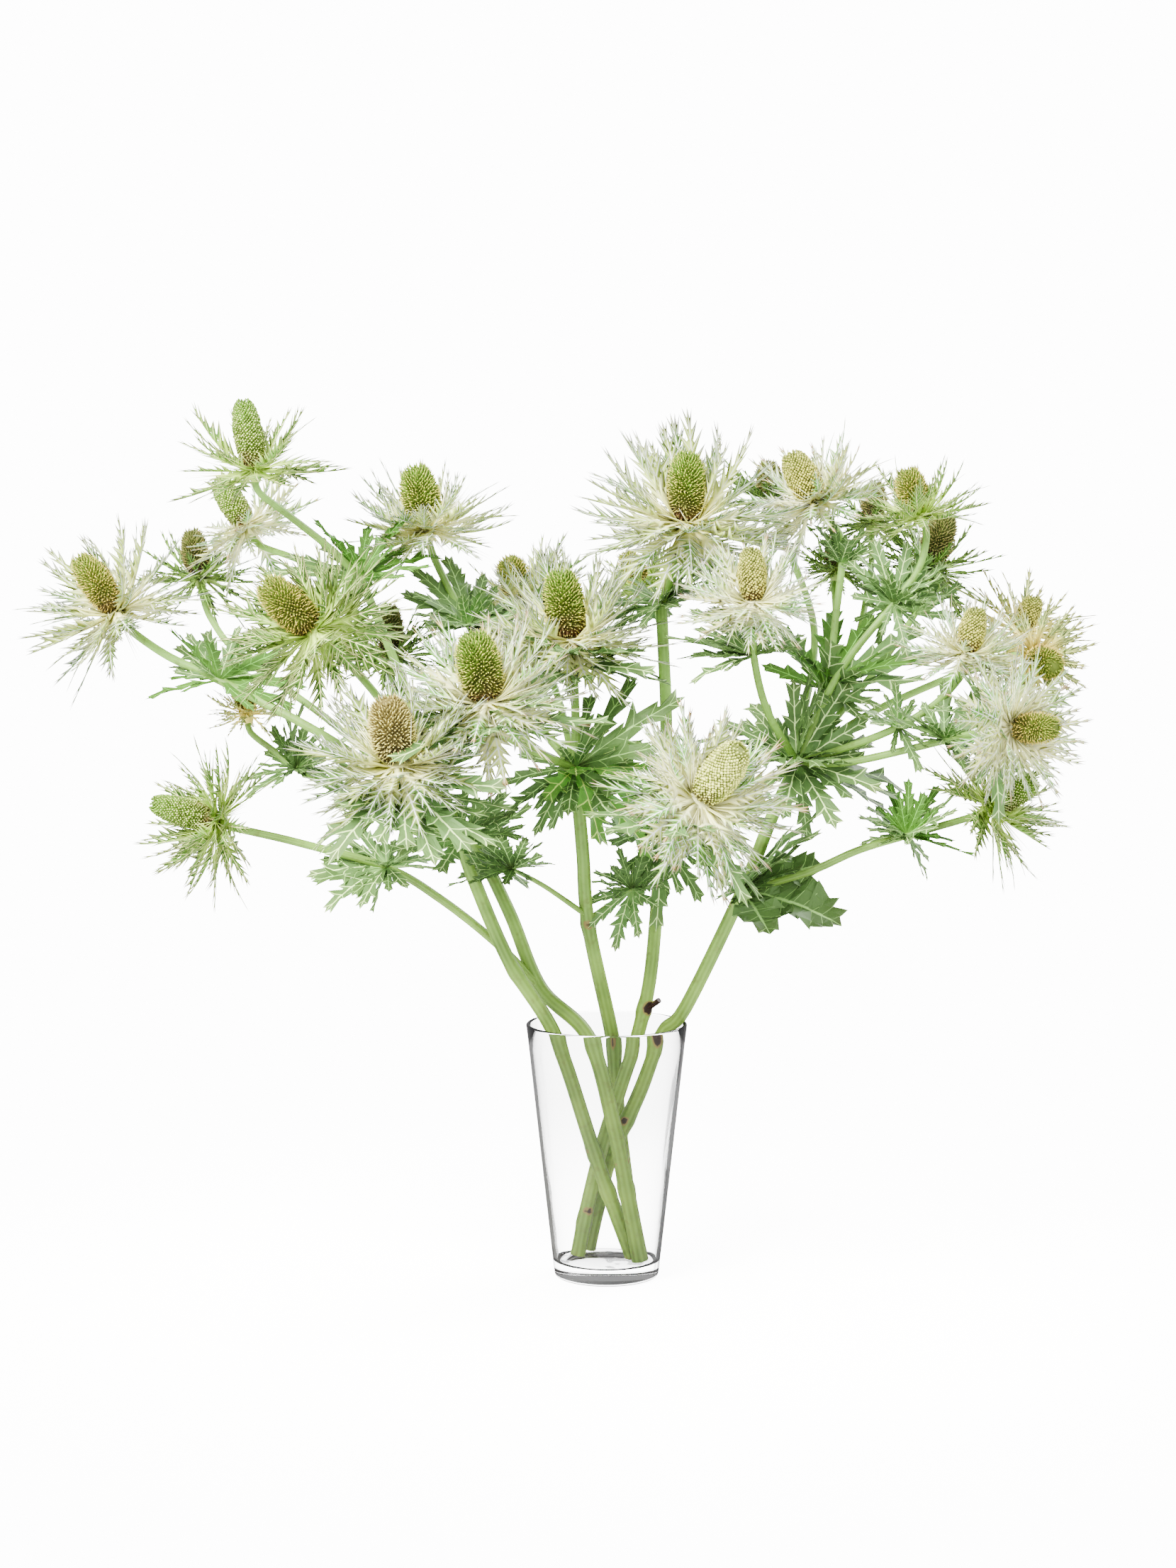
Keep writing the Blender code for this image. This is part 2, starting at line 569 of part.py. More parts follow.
def make_stem_pieces(stem):
    """The main stem with its knuckles, and its branches, still loose."""
    pieces = []
    for number, (start_radius, end_radius, route) in enumerate(STEMS[stem]):
        points = route_points(route)
        radii = tapered(points, start_radius, end_radius)
        if number == 0:
            for height, swelling in KNUCKLES[stem]:
                points, radii = swollen(points, radii, height, swelling)
        pieces.append(tube(f"{stem}_{number}", points, radii))
    pieces.append(whorl_piece(stem))
    if SPUR[0] == stem:
        ends = [Vector(point) for point in SPUR[1]]
        pieces.append(tube(f"{stem}_spur", ends, [SPUR[2]] * 2))
    for piece in pieces:
        take_object(stem, piece)
    return pieces


def cone_piece(name):
    """The cone of florets: a turned egg whose points stand out and in by turns."""
    _, _, radius, length, _, _ = HEADS[name]
    columns, rings = FINE_CONE if is_full(name) else PLAIN_CONE
    mesh = bpy.data.meshes.new(name)
    shape = bmesh.new()
    bmesh.ops.create_uvsphere(shape, u_segments=columns, v_segments=rings, radius=1)
    base = COLLAR_ABOVE + GAP
    for vertex in shape.verts:
        angle = math.acos(max(-1, min(1, -vertex.co.z)))
        share = angle / math.pi
        ring = round(share * rings)
        turn = math.atan2(vertex.co.y, vertex.co.x)
        column = round(turn / math.tau * columns)
        relief = FLORET_RELIEF * (1 if (ring + column) % 2 else -0.5)
        girth = radius * math.sin(angle) ** CONE_SHOULDER * (1 - CONE_TAPER * share) * (1 + relief)
        turn += ring * math.pi / columns / 2
        height = length * (share + (1 - math.cos(angle)) / 2) / 2
        vertex.co = (girth * math.cos(turn), girth * math.sin(turn), base + height)
    shape.transform(Matrix.Scale(MM, 4) @ head_frame(name))
    shape.to_mesh(mesh)
    shape.free()
    return new_object(name + "_cone", mesh)


def is_full(name):
    return HEADS[name][5] >= FULL_HEAD


def bract_outline(name):
    return FINE_BRACT if is_full(name) else PLAIN_BRACT


def collar_radius(name):
    return HEADS[name][2] * COLLAR_SHARE + COLLAR_MARGIN


def bracts_of(name, node):
    """(turn, tilt, length) of each bract by its number. One that is not free lifts, drops or shortens."""
    _, _, _, _, reach, count = HEADS[name]
    chance = random.Random(name)
    found = {}
    for number in range(count):
        turn = math.tau * number / count
        tilt = BRACT_TILTS[number % len(BRACT_TILTS)] + chance.uniform(-6, 6)
        length = (reach - collar_radius(name)) * chance.uniform(0.88, 1.0)
        tries = [
            (turn, tilt + lift, length * shorter)
            for shorter in (1.0, 0.85, 0.7, 0.5)
            for lift in (0, -10, 10, -20, 20, -32)
        ]
        for fit in tries:
            if is_free(*bract_shape(name, *fit, grow=ROOM), skip=(node,)):
                found[number] = fit
                break
        else:
            print(name, "bract", number, "found no room")
    return found


def ruff_piece(name, node):
    """The collar and its bracts as one closed mesh: each bract grows out of one side of the collar's rim."""
    frame, radius, count = head_frame(name), collar_radius(name), HEADS[name][5]
    found = bracts_of(name, node)
    points = [frame @ Vector((0, 0, COLLAR_ABOVE)), frame @ Vector((0, 0, -COLLAR_BELOW))]
    rim_half = BRACT_THICK / 2
    for height, size in ((rim_half, 1.0), (-rim_half, COLLAR_TAPER)):
        for corner in range(count):
            turn = math.tau * (corner - 0.5) / count
            rim = Vector((math.cos(turn), math.sin(turn), 0)) * radius * size
            points.append(frame @ (rim + Vector((0, 0, height))))
    faces = []
    for number in range(count):
        right, left = 2 + number, 2 + (number + 1) % count
        right_low, left_low = right + count, left + count
        faces += [(0, right, left), (1, left_low, right_low)]
        if number not in found:
            faces += [(right, right_low, left_low), (right, left_low, left)]
            continue
        bract_points, bract_faces = bract_shape(name, *found[number])
        take(node, bract_points, bract_faces)
        # The bract's own root corners, 0 and the first of its right side, give way to the rim's four corners.
        outline, ribs = bract_outline(name)
        first_right = len(outline)
        upper = first_right + len(outline) - 1
        kept = [index for index in range(len(bract_points)) if index not in (0, first_right)]
        new = {index: len(points) + place for place, index in enumerate(kept)}
        points += [bract_points[index] for index in kept]
        for face in bract_faces:
            on_top = any(upper <= index < upper + len(ribs) for index in face)
            root = {0: left if on_top else left_low, first_right: right if on_top else right_low}
            faces.append(tuple(new[index] if index in new else root[index] for index in face))
        faces += [(left, new[1], left_low), (right_low, new[first_right + 1], right)]
    return mesh_from(f"{name}_ruff", points, faces)


def make_head(name):
    number = name.removeprefix("head_")
    cone_colour = materials["cone_brown" if name in BROWN_CONES else "cone_green"]
    ruff_colour = materials["ruff_green" if name in DARK_RUFFS else "ruff_silver"]
    if name in ONE_PIECE_HEADS:
        down = head_frame(name).col[2].to_3d() * -SUNK
        cones[name].data.transform(Matrix.Translation(down * MM))
        fused(name, [ruff_piece(name, name), cones[name]], ruff_colour)
        return
    finished(f"cone_{number}", cones[name], cone_colour)
    finished(f"ruff_{number}", ruff_piece(name, f"ruff_{number}"), ruff_colour)


def leaf_pieces():
    """Every leaf that finds room, by stem. A leaf rolls, swings or shortens to keep clear of others."""
    chance = random.Random(3)
    pieces = {stem: [] for stem in STEMS}
    for stem, root, leaves in LEAVES:
        for kind, tip in leaves:
            roll, arch = chance.uniform(-0.3, 0.3), chance.uniform(0.05, 0.3)
            span = Vector(tip) - Vector(root)
            tries = [
                (Vector(root) + (span + Vector(swing)) * shorter, roll + turn)
                for shorter in (1.0, 0.85, 0.7, 0.55)
                for swing in LEAF_SWINGS
                for turn in (0, 0.5, -0.5)
            ]
            for end, turned in tries:
                if is_free(*leaf_shape(kind, root, end, turned, arch, ROOM), skip=(stem,)):
                    points, faces = leaf_shape(kind, root, end, turned, arch)
                    take(stem, points, faces)
                    pieces[stem].append(mesh_from(f"{stem}_leaf", points, faces))
                    break
            else:
                print(stem, "leaf at", root, "to", tip, "found no room")
    return pieces


clear_scene()
flowers = bpy.data.collections.new("sea_holly")
bpy.context.scene.collection.children.link(flowers)
materials = {name: new_material(name) for name in MATERIALS}

make_glass()
stems = {stem: make_stem_pieces(stem) for stem in STEMS}
cones = {name: cone_piece(name) for name in HEADS}
for name, cone in cones.items():
    take_object(name if name in ONE_PIECE_HEADS else name.replace("head", "cone"), cone)
for name in HEADS:
    make_head(name)
leaves = leaf_pieces()
for stem, pieces in stems.items():
    fused(stem, pieces + leaves[stem], materials["stem_green"])
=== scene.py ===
# %% [markdown]
# # Sea holly in a glass tumbler
# Five cut stems of alpine sea holly stand dry in a conical glass. Each branch ends in a flower head: a cone
# of hundreds of small florets above a ruff of spiny bracts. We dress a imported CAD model, which fixes every
# place and size, with fine pieces that keep to it.

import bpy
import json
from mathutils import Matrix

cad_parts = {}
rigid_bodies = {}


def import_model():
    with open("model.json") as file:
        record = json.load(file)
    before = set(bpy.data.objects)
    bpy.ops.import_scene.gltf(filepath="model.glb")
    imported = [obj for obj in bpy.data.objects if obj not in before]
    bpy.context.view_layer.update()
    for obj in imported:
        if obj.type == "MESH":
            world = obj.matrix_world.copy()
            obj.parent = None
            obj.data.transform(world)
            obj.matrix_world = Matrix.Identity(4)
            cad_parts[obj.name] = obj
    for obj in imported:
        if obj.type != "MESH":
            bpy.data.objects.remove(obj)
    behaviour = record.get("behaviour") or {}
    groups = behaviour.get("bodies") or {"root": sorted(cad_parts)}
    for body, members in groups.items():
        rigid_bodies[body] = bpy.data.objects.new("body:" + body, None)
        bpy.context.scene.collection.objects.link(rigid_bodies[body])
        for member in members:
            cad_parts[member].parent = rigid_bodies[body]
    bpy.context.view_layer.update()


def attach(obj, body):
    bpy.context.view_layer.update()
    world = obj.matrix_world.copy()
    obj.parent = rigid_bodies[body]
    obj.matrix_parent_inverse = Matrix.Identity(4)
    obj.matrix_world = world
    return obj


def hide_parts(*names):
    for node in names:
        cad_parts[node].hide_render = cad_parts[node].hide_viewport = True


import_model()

import json
import math
import random

import bmesh
import bpy
import numpy as np
from mathutils import Matrix, Vector
from mathutils.noise import noise

MM = 0.001  # metres in a millimetre: the tables below are in millimetres
GOLDEN_TURN = math.pi * (3 - math.sqrt(5))  # the turn from one floret to the next on a real cone

# %% [markdown]
# ## The plan of the bunch
# The CAD source settled where everything stands. We repeat its numbers here: the routes of the stems, the
# seat and aim of each head, and the root and tip of each leaf. Whoever moves one of these has to move it in
# both files, because the pieces below must lie on the CAD solids that they stand for.

# %% Stems: radius at the start and at the end, then the route
GLASS_FLOOR = 9.0
FOOT_Z = GLASS_FLOOR + 1.65  # the stems stand on the tumbler's floor
STEMS = {
    "stem_1": (
        (3.9, 3.4, ((14, -2, FOOT_Z), (3, -5, 41), (-8, -8, 73), (-28, -14, 135), (-53, -14, 176),
                    (-72, -16, 221), (-79, -18, 242))),
        (2.9, 2.5, ((-79, -18, 242), (-94, -4, 285), (-111, 6, 327), (-133, 6, 382))),
        (2.3, 2.0, ((-133, 6, 382), (-151, 0, 400), (-173, -8, 418), "head_01")),
        (2.2, 1.9, ((-133, 6, 382), (-151, 20, 386), (-175, 45, 394), "head_02")),
        (2.7, 2.4, ((-79, -18, 242), (-113, -16, 271), (-151, -8, 297), (-211, 10, 327), (-240, 17, 340),
                    "head_04")),
        (2.5, 2.2, ((-79, -18, 242), (-100, -36, 288), (-122, -50, 323), "head_05")),
        (2.4, 1.9, ((-79, -18, 242), (-103, 6, 244), (-131, 26, 256), (-173, 46, 276), (-187, 52, 286),
                    "head_26")),
        (2.6, 2.4, ((-79, -18, 242), (-90, -50, 254), (-99, -86, 268), "head_11")),
    ),
    "stem_2": (
        (4.3, 3.2, ((18, -10, FOOT_Z), (11, -12, 48), (4, -14, 85), (-10, -12, 134), (-36, 2, 159),
                    (-53, 8, 199), (-72, 14, 238))),
        (2.7, 2.2, ((-36, 2, 159), (-61, -2, 185), (-90, -14, 210), (-118, -24, 228), (-165, -36, 243),
                    "head_25")),
        (2.5, 2.0, ((-72, 14, 238), (-116, 34, 271), (-157, 60, 303), (-209, 95, 337), (-227, 110, 356),
                    "head_03")),
        (2.3, 1.9, ((-72, 14, 238), (-101, 40, 278), (-116, 52, 312), "head_06")),
    ),
    "stem_3": (
        (4.1, 3.3, ((17, 12, FOOT_Z), (12, 18, 41), (8, 24, 73), (5, 26, 107), (3, 25, 130),
                    (-10, 12, 193), (-13, 4, 234), (-17, -8, 280))),
        (2.7, 2.3, ((-17, -8, 280), (-17, -4, 312), "head_09")),
        (2.6, 2.3, ((-17, -8, 280), (-38, -42, 292), (-53, -70, 302), "head_10")),
        (2.4, 2.0, ((-17, -8, 280), (-27, 42, 316), "head_28")),
        (2.5, 2.2, ((-17, -8, 280), (-53, 24, 320), (-76, 38, 356), (-89, 40, 380), "head_07")),
        (1.7, 1.3, ((-11, 10, 198), (-34, -6, 216), (-51, -14, 226))),
        (1.5, 1.3, ((-11, 11, 195), (2, 12, 204), (14, 11, 212))),
    ),
    "stem_4": (
        (3.9, 3.0, ((-16, 0, FOOT_Z), (-10, 3, 40), (-3, 6, 70), (9, 8, 107), (17, 12, 131),
                    (24, 20, 162), (28, 26, 204), (32, 30, 259), (33, 32, 303), (31, 30, 349),
                    (30, 24, 368))),
        (2.8, 2.4, ((30, 24, 368), (35, 12, 382), "head_08")),
        (2.0, 1.8, ((31, 29, 352), (29, 58, 360), "head_27")),
    ),
    "stem_5": (
        (3.9, 3.2, ((-10, 17, FOOT_Z), (-4, 16, 38), (2, 14, 62), (19, 13, 101), (31, 9, 133),
                    (43, 2, 148), (73, -14, 214), (89, -20, 256), (102, -20, 284))),
        (2.4, 2.1, ((102, -20, 284), (107, 12, 305), (117, 68, 356), "head_24")),
        (2.4, 2.1, ((102, -20, 284), (119, 8, 322), (127, 32, 366), (131, 46, 402), "head_13")),
        (2.3, 2.0, ((102, -20, 284), (84, -46, 314), (76, -64, 343), "head_14")),
        (2.3, 2.0, ((102, -20, 284), (125, -10, 332), (154, -8, 369), (167, -10, 387), "head_15")),
        (2.2, 1.9, ((102, -20, 284), (125, 12, 306), (153, 38, 336), (173, 58, 362), "head_17")),
        (2.2, 1.9, ((107, 12, 305), (138, 70, 336), (153, 116, 382), "head_16")),
        (2.0, 1.8, ((119, 8, 322), (129, 62, 350), "head_18")),
        (2.3, 2.0, ((102, -20, 284), (129, -34, 294), (153, -46, 305), (172, -54, 318), "head_19")),
        (2.3, 2.0, ((102, -20, 284), (140, 0, 308), (189, 26, 328), (213, 36, 336), "head_20")),
        (2.0, 1.8, ((189, 26, 328), (211, 12, 336), "head_21")),
        (2.3, 2.0, ((102, -20, 284), (129, -38, 286), (176, -62, 299), "head_22")),
        (2.4, 2.0, ((73, -14, 214), (108, -26, 226), (134, -30, 238), (160, -30, 246), "head_23")),
        (2.4, 2.1, ((73, -14, 214), (62, -50, 238), (48, -78, 254), "head_12")),
    ),
}
print(sum(len(routes) for routes in STEMS.values()), "stems and branches")

# %% Heads: seat, aim, the cone's radius and length, the bracts' reach, then the look of cone and ruff
HEADS = {
    "head_01": ((-188, -15, 440), (-0.16, -0.04, 0.99), 8.0, 38, 49, "dotted", "fresh"),
    "head_02": ((-201, 65, 410), (-0.53, 0.20, 0.81), 7.8, 33, 43, "dotted", "white"),
    "head_03": ((-236, 122, 381), (-0.18, 0.20, 0.95), 7.5, 29, 42, "dark", "dark"),
    "head_04": ((-268, 20, 364), (-0.57, 0.0, 0.82), 8.5, 37, 57, "olive", "silver"),
    "head_05": ((-152, -70, 357), (-0.68, -0.26, 0.68), 10.0, 36, 54, "olive", "fresh"),
    "head_06": ((-121, 60, 339), (-0.04, 0.12, 0.99), 7.0, 28, 38, "dark", "dark"),
    "head_07": ((-99, 40, 408), (-0.20, 0.08, 0.97), 10.5, 37, 52, "bristly", "silver"),
    "head_08": ((43, -10, 412), (-0.01, -0.02, 1.0), 9.8, 38, 65, "bristly", "silver"),
    "head_09": ((-20, 5, 349), (-0.15, 0.0, 0.99), 11.0, 38, 60, "bristly", "silver"),
    "head_10": ((-62, -85, 320), (-0.20, -0.10, 0.97), 11.3, 37, 59, "bristly", "white"),
    "head_11": ((-106, -110, 290), (-0.16, -0.18, 0.97), 11.4, 35, 56, "brown", "silver"),
    "head_12": ((47, -100, 271), (0.52, -0.42, 0.74), 10.9, 38, 55, "cream", "white"),
    "head_13": ((117, 50, 424), (-0.48, 0.10, 0.87), 9.5, 31, 50, "tan", "white"),
    "head_14": ((75, -76, 371), (-0.06, -0.10, 0.99), 7.4, 28, 42, "tan", "white"),
    "head_15": ((168, -10, 416), (-0.30, 0.0, 0.95), 8.0, 26, 40, "olive", "fresh"),
    "head_16": ((156, 132, 412), (0.08, 0.28, 0.95), 7.0, 26, 38, "dark", "dark"),
    "head_17": ((182, 70, 387), (0.30, 0.15, 0.94), 8.8, 34, 45, "dark", "dark"),
    "head_18": ((132, 108, 386), (0.03, 0.22, 0.97), 6.0, 20, 31, "dark", "dark"),
    "head_19": ((187, -61, 344), (0.20, -0.12, 0.97), 7.0, 24, 37, "tan", "white"),
    "head_20": ((230, 40, 353), (0.40, 0.15, 0.90), 6.5, 20, 44, "tan", "rusty"),
    "head_21": ((229, -16, 341), (0.30, -0.90, -0.20), 8.0, 24, 35, "olive", "rusty"),
    "head_22": ((207, -90, 307), (0.77, -0.62, 0.06), 7.4, 26, 44, "olive", "white"),
    "head_23": ((205, -30, 262), (0.83, -0.16, 0.52), 8.0, 27, 46, "dotted", "fresh"),
    "head_24": ((96, 114, 427), (-0.12, 0.30, 0.94), 7.5, 22, 40, "dark", "dark"),
    "head_25": ((-207, -40, 254), (-0.95, -0.08, 0.30), 7.6, 36, 47, "dotted", "fresh"),
    "head_26": ((-202, 60, 306), (-0.20, 0.28, 0.94), 5.5, 16, 27, "olive", "rusty"),
    "head_27": ((22, 90, 377), (-0.50, 0.20, 0.85), 6.5, 22, 33, "olive", "fresh"),
    "head_28": ((-47, 95, 368), (-0.34, 0.34, 0.87), 9.0, 28, 47, "olive", "silver"),
}
ONE_PIECE_HEADS = ("head_16", "head_18", "head_24", "head_28")
print(len(HEADS), "flower heads")

# %% Leaves: the stem, the point that they grow from, and each leaf's outline and tip
LEAVES = (
    ("stem_1", (-133, 6, 382), (
        ("lobed", (-154, -24, 411)), ("lobed", (-177, -14, 384)), ("lance", (-130, 30, 410)),
    )),
    ("stem_1", (-211, 10, 327), (
        ("lobed", (-231, -14, 354)), ("lobed", (-222, 37, 352)), ("lance", (-249, -8, 318)),
    )),
    ("stem_1", (-173, 46, 276), (
        ("lobed", (-197, 24, 262)), ("lance", (-145, 18, 268)), ("lobed", (-170, 68, 300)),
    )),
    ("stem_1", (-79, -18, 242), (
        ("lance", (-46, -38, 247)), ("lobed", (-112, -52, 238)), ("lance", (-58, -44, 270)),
    )),
    ("stem_2", (-118, -24, 228), (
        ("lobed", (-153, -44, 222)), ("lobed", (-150, -52, 208)), ("lance", (-128, -6, 200)),
        ("lance", (-142, -8, 256)),
    )),
    ("stem_2", (-72, 14, 238), (
        ("lobed", (-54, 44, 262)), ("lobed", (-76, 52, 222)), ("lance", (-110, 18, 232)),
    )),
    ("stem_3", (-76, 38, 356), (
        ("lobed", (-107, 44, 386)), ("lance", (-108, 66, 362)), ("lobed", (-62, 62, 376)),
    )),
    ("stem_3", (-17, -8, 280), (
        ("lobed", (-56, -22, 254)), ("lance", (-41, -34, 247)), ("lance", (-30, -4, 246)),
        ("lobed", (1, -44, 258)), ("lobed", (38, -20, 316)), ("lance", (-8, -56, 306)),
    )),
    ("stem_3", (-51, -14, 226), (
        ("lobed", (-60, -40, 246)),
    )),
    ("stem_3", (14, 11, 212), (
        ("lance", (34, -10, 220)),
    )),
    ("stem_4", (30, 28, 238), (
        ("lance", (11, 26, 190)), ("lance", (24, 12, 190)), ("lance", (48, 6, 206)),
        ("lobed", (64, 14, 230)), ("lobed", (8, 14, 262)), ("lobed", (40, 66, 250)),
    )),
    ("stem_4", (30, 24, 368), (
        ("lance", (66, 16, 394)), ("lobed", (60, -4, 372)), ("lance", (6, 34, 384)),
    )),
    ("stem_5", (73, -14, 214), (
        ("round", (127, -34, 198)), ("lobed", (112, -60, 250)), ("lance", (92, -62, 236)),
        ("lobed", (92, 24, 222)),
    )),
    ("stem_5", (102, -20, 284), (
        ("lobed", (80, -70, 286)), ("lobed", (122, -60, 252)), ("lobed", (160, 2, 270)),
        ("lance", (150, -10, 258)), ("lance", (108, -6, 244)), ("lobed", (80, 24, 298)),
    )),
    ("stem_5", (119, 8, 322), (
        ("lance", (165, -24, 337)),
    )),
    ("stem_5", (76, -64, 343), (
        ("lobed", (34, -54, 352)), ("lance", (46, -36, 368)), ("lance", (98, -78, 346)),
    )),
    ("stem_5", (130, 42, 390), (
        ("lance", (114, 28, 412)), ("lance", (144, 48, 408)),
    )),
    ("stem_5", (154, -8, 369), (
        ("lance", (134, -6, 395)), ("lance", (147, -28, 390)), ("lobed", (183, -18, 374)),
        ("lance", (159, -28, 340)),
    )),
    ("stem_5", (176, -62, 299), (
        ("lobed", (196, -56, 328)), ("lance", (178, -46, 322)), ("lance", (184, -80, 284)),
        ("lobed", (196, -56, 280)),
    )),
    ("stem_5", (160, -30, 246), (
        ("lance", (176, -12, 270)), ("lobed", (185, -52, 262)), ("lance", (196, -42, 236)),
        ("lobed", (172, -26, 222)), ("lance", (158, -36, 276)),
    )),
    ("stem_5", (153, -46, 305), (
        ("lance", (162, -70, 284)),
    )),
    ("stem_5", (173, 58, 362), (
        ("lobed", (150, 76, 384)),
    )),
)
print(sum(len(leaves) for _, _, leaves in LEAVES), "leaves")

# %% [markdown]
# ## Blades
# A bract and a leaf are both a thin blade with a rib along its middle and teeth along its edges. We build one
# from rows across it. Each row runs from the left edge over the rib to the right edge. A row that ends in a
# tooth's tip follows a side vein, and a row that ends in a notch lies between two veins. A flat sheet would
# be simpler, but ours is a closed body: its two faces share the edges and stand apart along the rib. We store
# three marks at every point, which the finishes read as a colour: red is 0 on a side vein and 1 between two,
# green is the place along the blade, and blue is 0 on the rib and 1 at the edge.

# %% Rows of a toothed blade
def toothed_rows(chance, teeth, half_width, notch, lean, tooth_share, last):
    """Rows from root to tip, in shares of the length: (station on the rib, left edge, right edge, vein mark).

    An edge is (station, distance from the rib). tooth_share is how much of its pitch a tooth takes.
    """
    first = 0.16
    pitch = (last - first) / teeth

    def notch_row(station):
        edge = (station, notch * half_width(station))
        return station, edge, edge, 1.0

    rows = [notch_row(0.0)]
    for tooth in range(teeth):
        middle = first + (tooth + 0.5) * pitch
        half = tooth_share * pitch / 2
        tips = [
            (min(1.0, middle + lean * chance.uniform(0.7, 1.3)),
             half_width(middle) * chance.uniform(0.75, 1.15))
            for _ in range(2)
        ]
        rows += [notch_row(middle - half), (middle, *tips, 0.0), notch_row(middle + half)]
    return [*rows, (1.0, (1.0, 0.0), (1.0, 0.0), 0.0)]


# %% A closed blade from its rows
def closed_blade(rows, place, thick, mids):
    """Points, faces and marks. place turns (station, across, lift) into a point. mids adds two columns."""
    points, faces, marks, lines = [], [], [], []

    def corner(station, across, lift, vein, edge):
        points.append(place(station, across, lift))
        marks.append((vein, station, edge, 1.0))
        return len(points) - 1

    for rib, left, right, vein in rows[:-1]:
        middle = thick * (1 - 0.6 * rib)
        edge_left = corner(left[0], -left[1], 0.0, vein, 1.0)
        edge_right = corner(right[0], right[1], 0.0, vein, 1.0)
        upper, lower = [edge_left], [edge_left]
        columns = [(rib, 0.0, 1.0)]
        if mids:
            near = [((rib + 2 * side[0]) / 3, side[1] * 0.55, 0.6) for side in (left, right)]
            columns = [(near[0][0], -near[0][1], near[0][2]), columns[0], near[1]]
        for station, across, share in columns:
            upper.append(corner(station, across, middle * share / 2, vein, 0.55 * (across != 0)))
            lower.append(corner(station, across, -middle * share / 2, vein, 0.55 * (across != 0)))
        lines.append((upper + [edge_right], lower + [edge_right]))
    tip = corner(1.0, 0.0, 0.0, 1.0, 0.0)
    for (upper, lower), (next_upper, next_lower) in zip(lines, lines[1:]):
        for i in range(len(upper) - 1):
            faces.append((upper[i], upper[i + 1], next_upper[i + 1], next_upper[i]))
            faces.append((lower[i + 1], lower[i], next_lower[i], next_lower[i + 1]))
    upper, lower = lines[-1]
    for i in range(len(upper) - 1):
        faces.append((upper[i], upper[i + 1], tip))
        faces.append((lower[i + 1], lower[i], tip))
    first_upper, first_lower = lines[0]
    faces.append((*first_lower, *first_upper[-2:0:-1]))
    return points, faces, marks


# %% A mesh that keeps its marks
def face_outwards(mesh):
    shape = bmesh.new()
    shape.from_mesh(mesh)
    bmesh.ops.recalc_face_normals(shape, faces=shape.faces)
    shape.to_mesh(mesh)
    shape.free()


def marked_mesh(name, shapes):
    """One mesh from (points in millimetres, faces, marks, tone) shapes, with its faces turned outwards."""
    points, faces, marks, tones = [], [], [], []
    for shape_points, shape_faces, shape_marks, tone in shapes:
        faces += [tuple(index + len(points) for index in face) for face in shape_faces]
        points += [tuple(coordinate * MM for coordinate in point) for point in shape_points]
        marks += shape_marks
        tones += [tone] * len(shape_points)
    mesh = bpy.data.meshes.new(name)
    mesh.from_pydata(points, [], faces)
    marks_layer = mesh.attributes.new("marks", "FLOAT_COLOR", "POINT")
    marks_layer.data.foreach_set("color", np.array(marks, np.float32).ravel())
    tone_layer = mesh.attributes.new("tone", "FLOAT", "POINT")
    tone_layer.data.foreach_set("value", np.array(tones, np.float32))
    face_outwards(mesh)
    return mesh


def swell(station, peak, width, least=0.04):
    """Half a blade's width: it rises from the root to its peak and falls to the tip."""
    share = station / peak if station < peak else (1 - station) / (1 - peak)
    return least + (width - least) * math.sin(math.pi / 2 * max(0.0, min(1.0, share)))


# %% A closed body turned round Z
def turned(profile, sides):
    """Points and faces from rows of (distance from the axis, height), the first and last on the axis."""
    points = [(0.0, 0.0, profile[0][1])]
    for distance, height in profile[1:-1]:
        for side in range(sides):
            turn = math.tau * side / sides
            points.append((distance * math.cos(turn), distance * math.sin(turn), height))
    points.append((0.0, 0.0, profile[-1][1]))
    top = len(points) - 1
    faces = []
    for side in range(sides):
        other = (side + 1) % sides
        faces.append((0, 1 + other, 1 + side))
        for low in range(1, top - sides, sides):
            faces.append((low + side, low + other, low + sides + other, low + sides + side))
        faces.append((top - sides + side, top - sides + other, top))
    return points, faces


# %% [markdown]
# ## Helpers for node trees
# Geometry Nodes and shaders are both trees of nodes, so one small set of helpers builds them all. A node may
# keep several sockets of one name, of which only those in use are enabled, so we always pick an enabled one.

# %% Nodes, sockets and colours
# How bright a point must be, and the screen value from 0 to 255 that the film-like view then gives it.
BRIGHTNESS = (0.0, 0.05, 0.18, 0.5, 1.0, 2.0, 3.0, 4.0, 6.0, 11.0)
SCREEN_VALUE = (0, 59, 115, 166, 197, 215, 225, 233, 240, 250)
STUDIO_LIGHT = 4.5  # brightness of a white surface in this studio
DEEPEN = 1.15  # the view also pales strong colours, so we start from deeper ones


def seen(red, green, blue):
    """The surface colour that looks like this screen colour, 0 to 255, in the studio's light."""
    middle = (red + green + blue) / 3
    values = [max(0.0, middle + DEEPEN * (value - middle)) for value in (red, green, blue)]
    shares = np.interp(values, SCREEN_VALUE, BRIGHTNESS) / STUDIO_LIGHT
    return (*(float(min(0.92, share)) for share in shares), 1.0)


def socket_of(sockets, label):
    return next(socket for socket in sockets if socket.enabled and socket.name == label)


def feed(tree, socket, value):
    """Links a node or a socket to this socket, or sets the socket's own value."""
    if isinstance(value, bpy.types.Node):
        value = next(output for output in value.outputs if output.enabled)
    if isinstance(value, bpy.types.NodeSocket):
        tree.links.new(value, socket)
    else:
        socket.default_value = value


def add(tree, kind, settings=(), **inputs):
    """A new node with its settings, and its inputs fed by name, with _ for a space."""
    node = tree.nodes.new(kind)
    for name, value in dict(settings).items():
        setattr(node, name, value)
    for label, value in inputs.items():
        feed(tree, socket_of(node.inputs, label.replace("_", " ")), value)
    return node


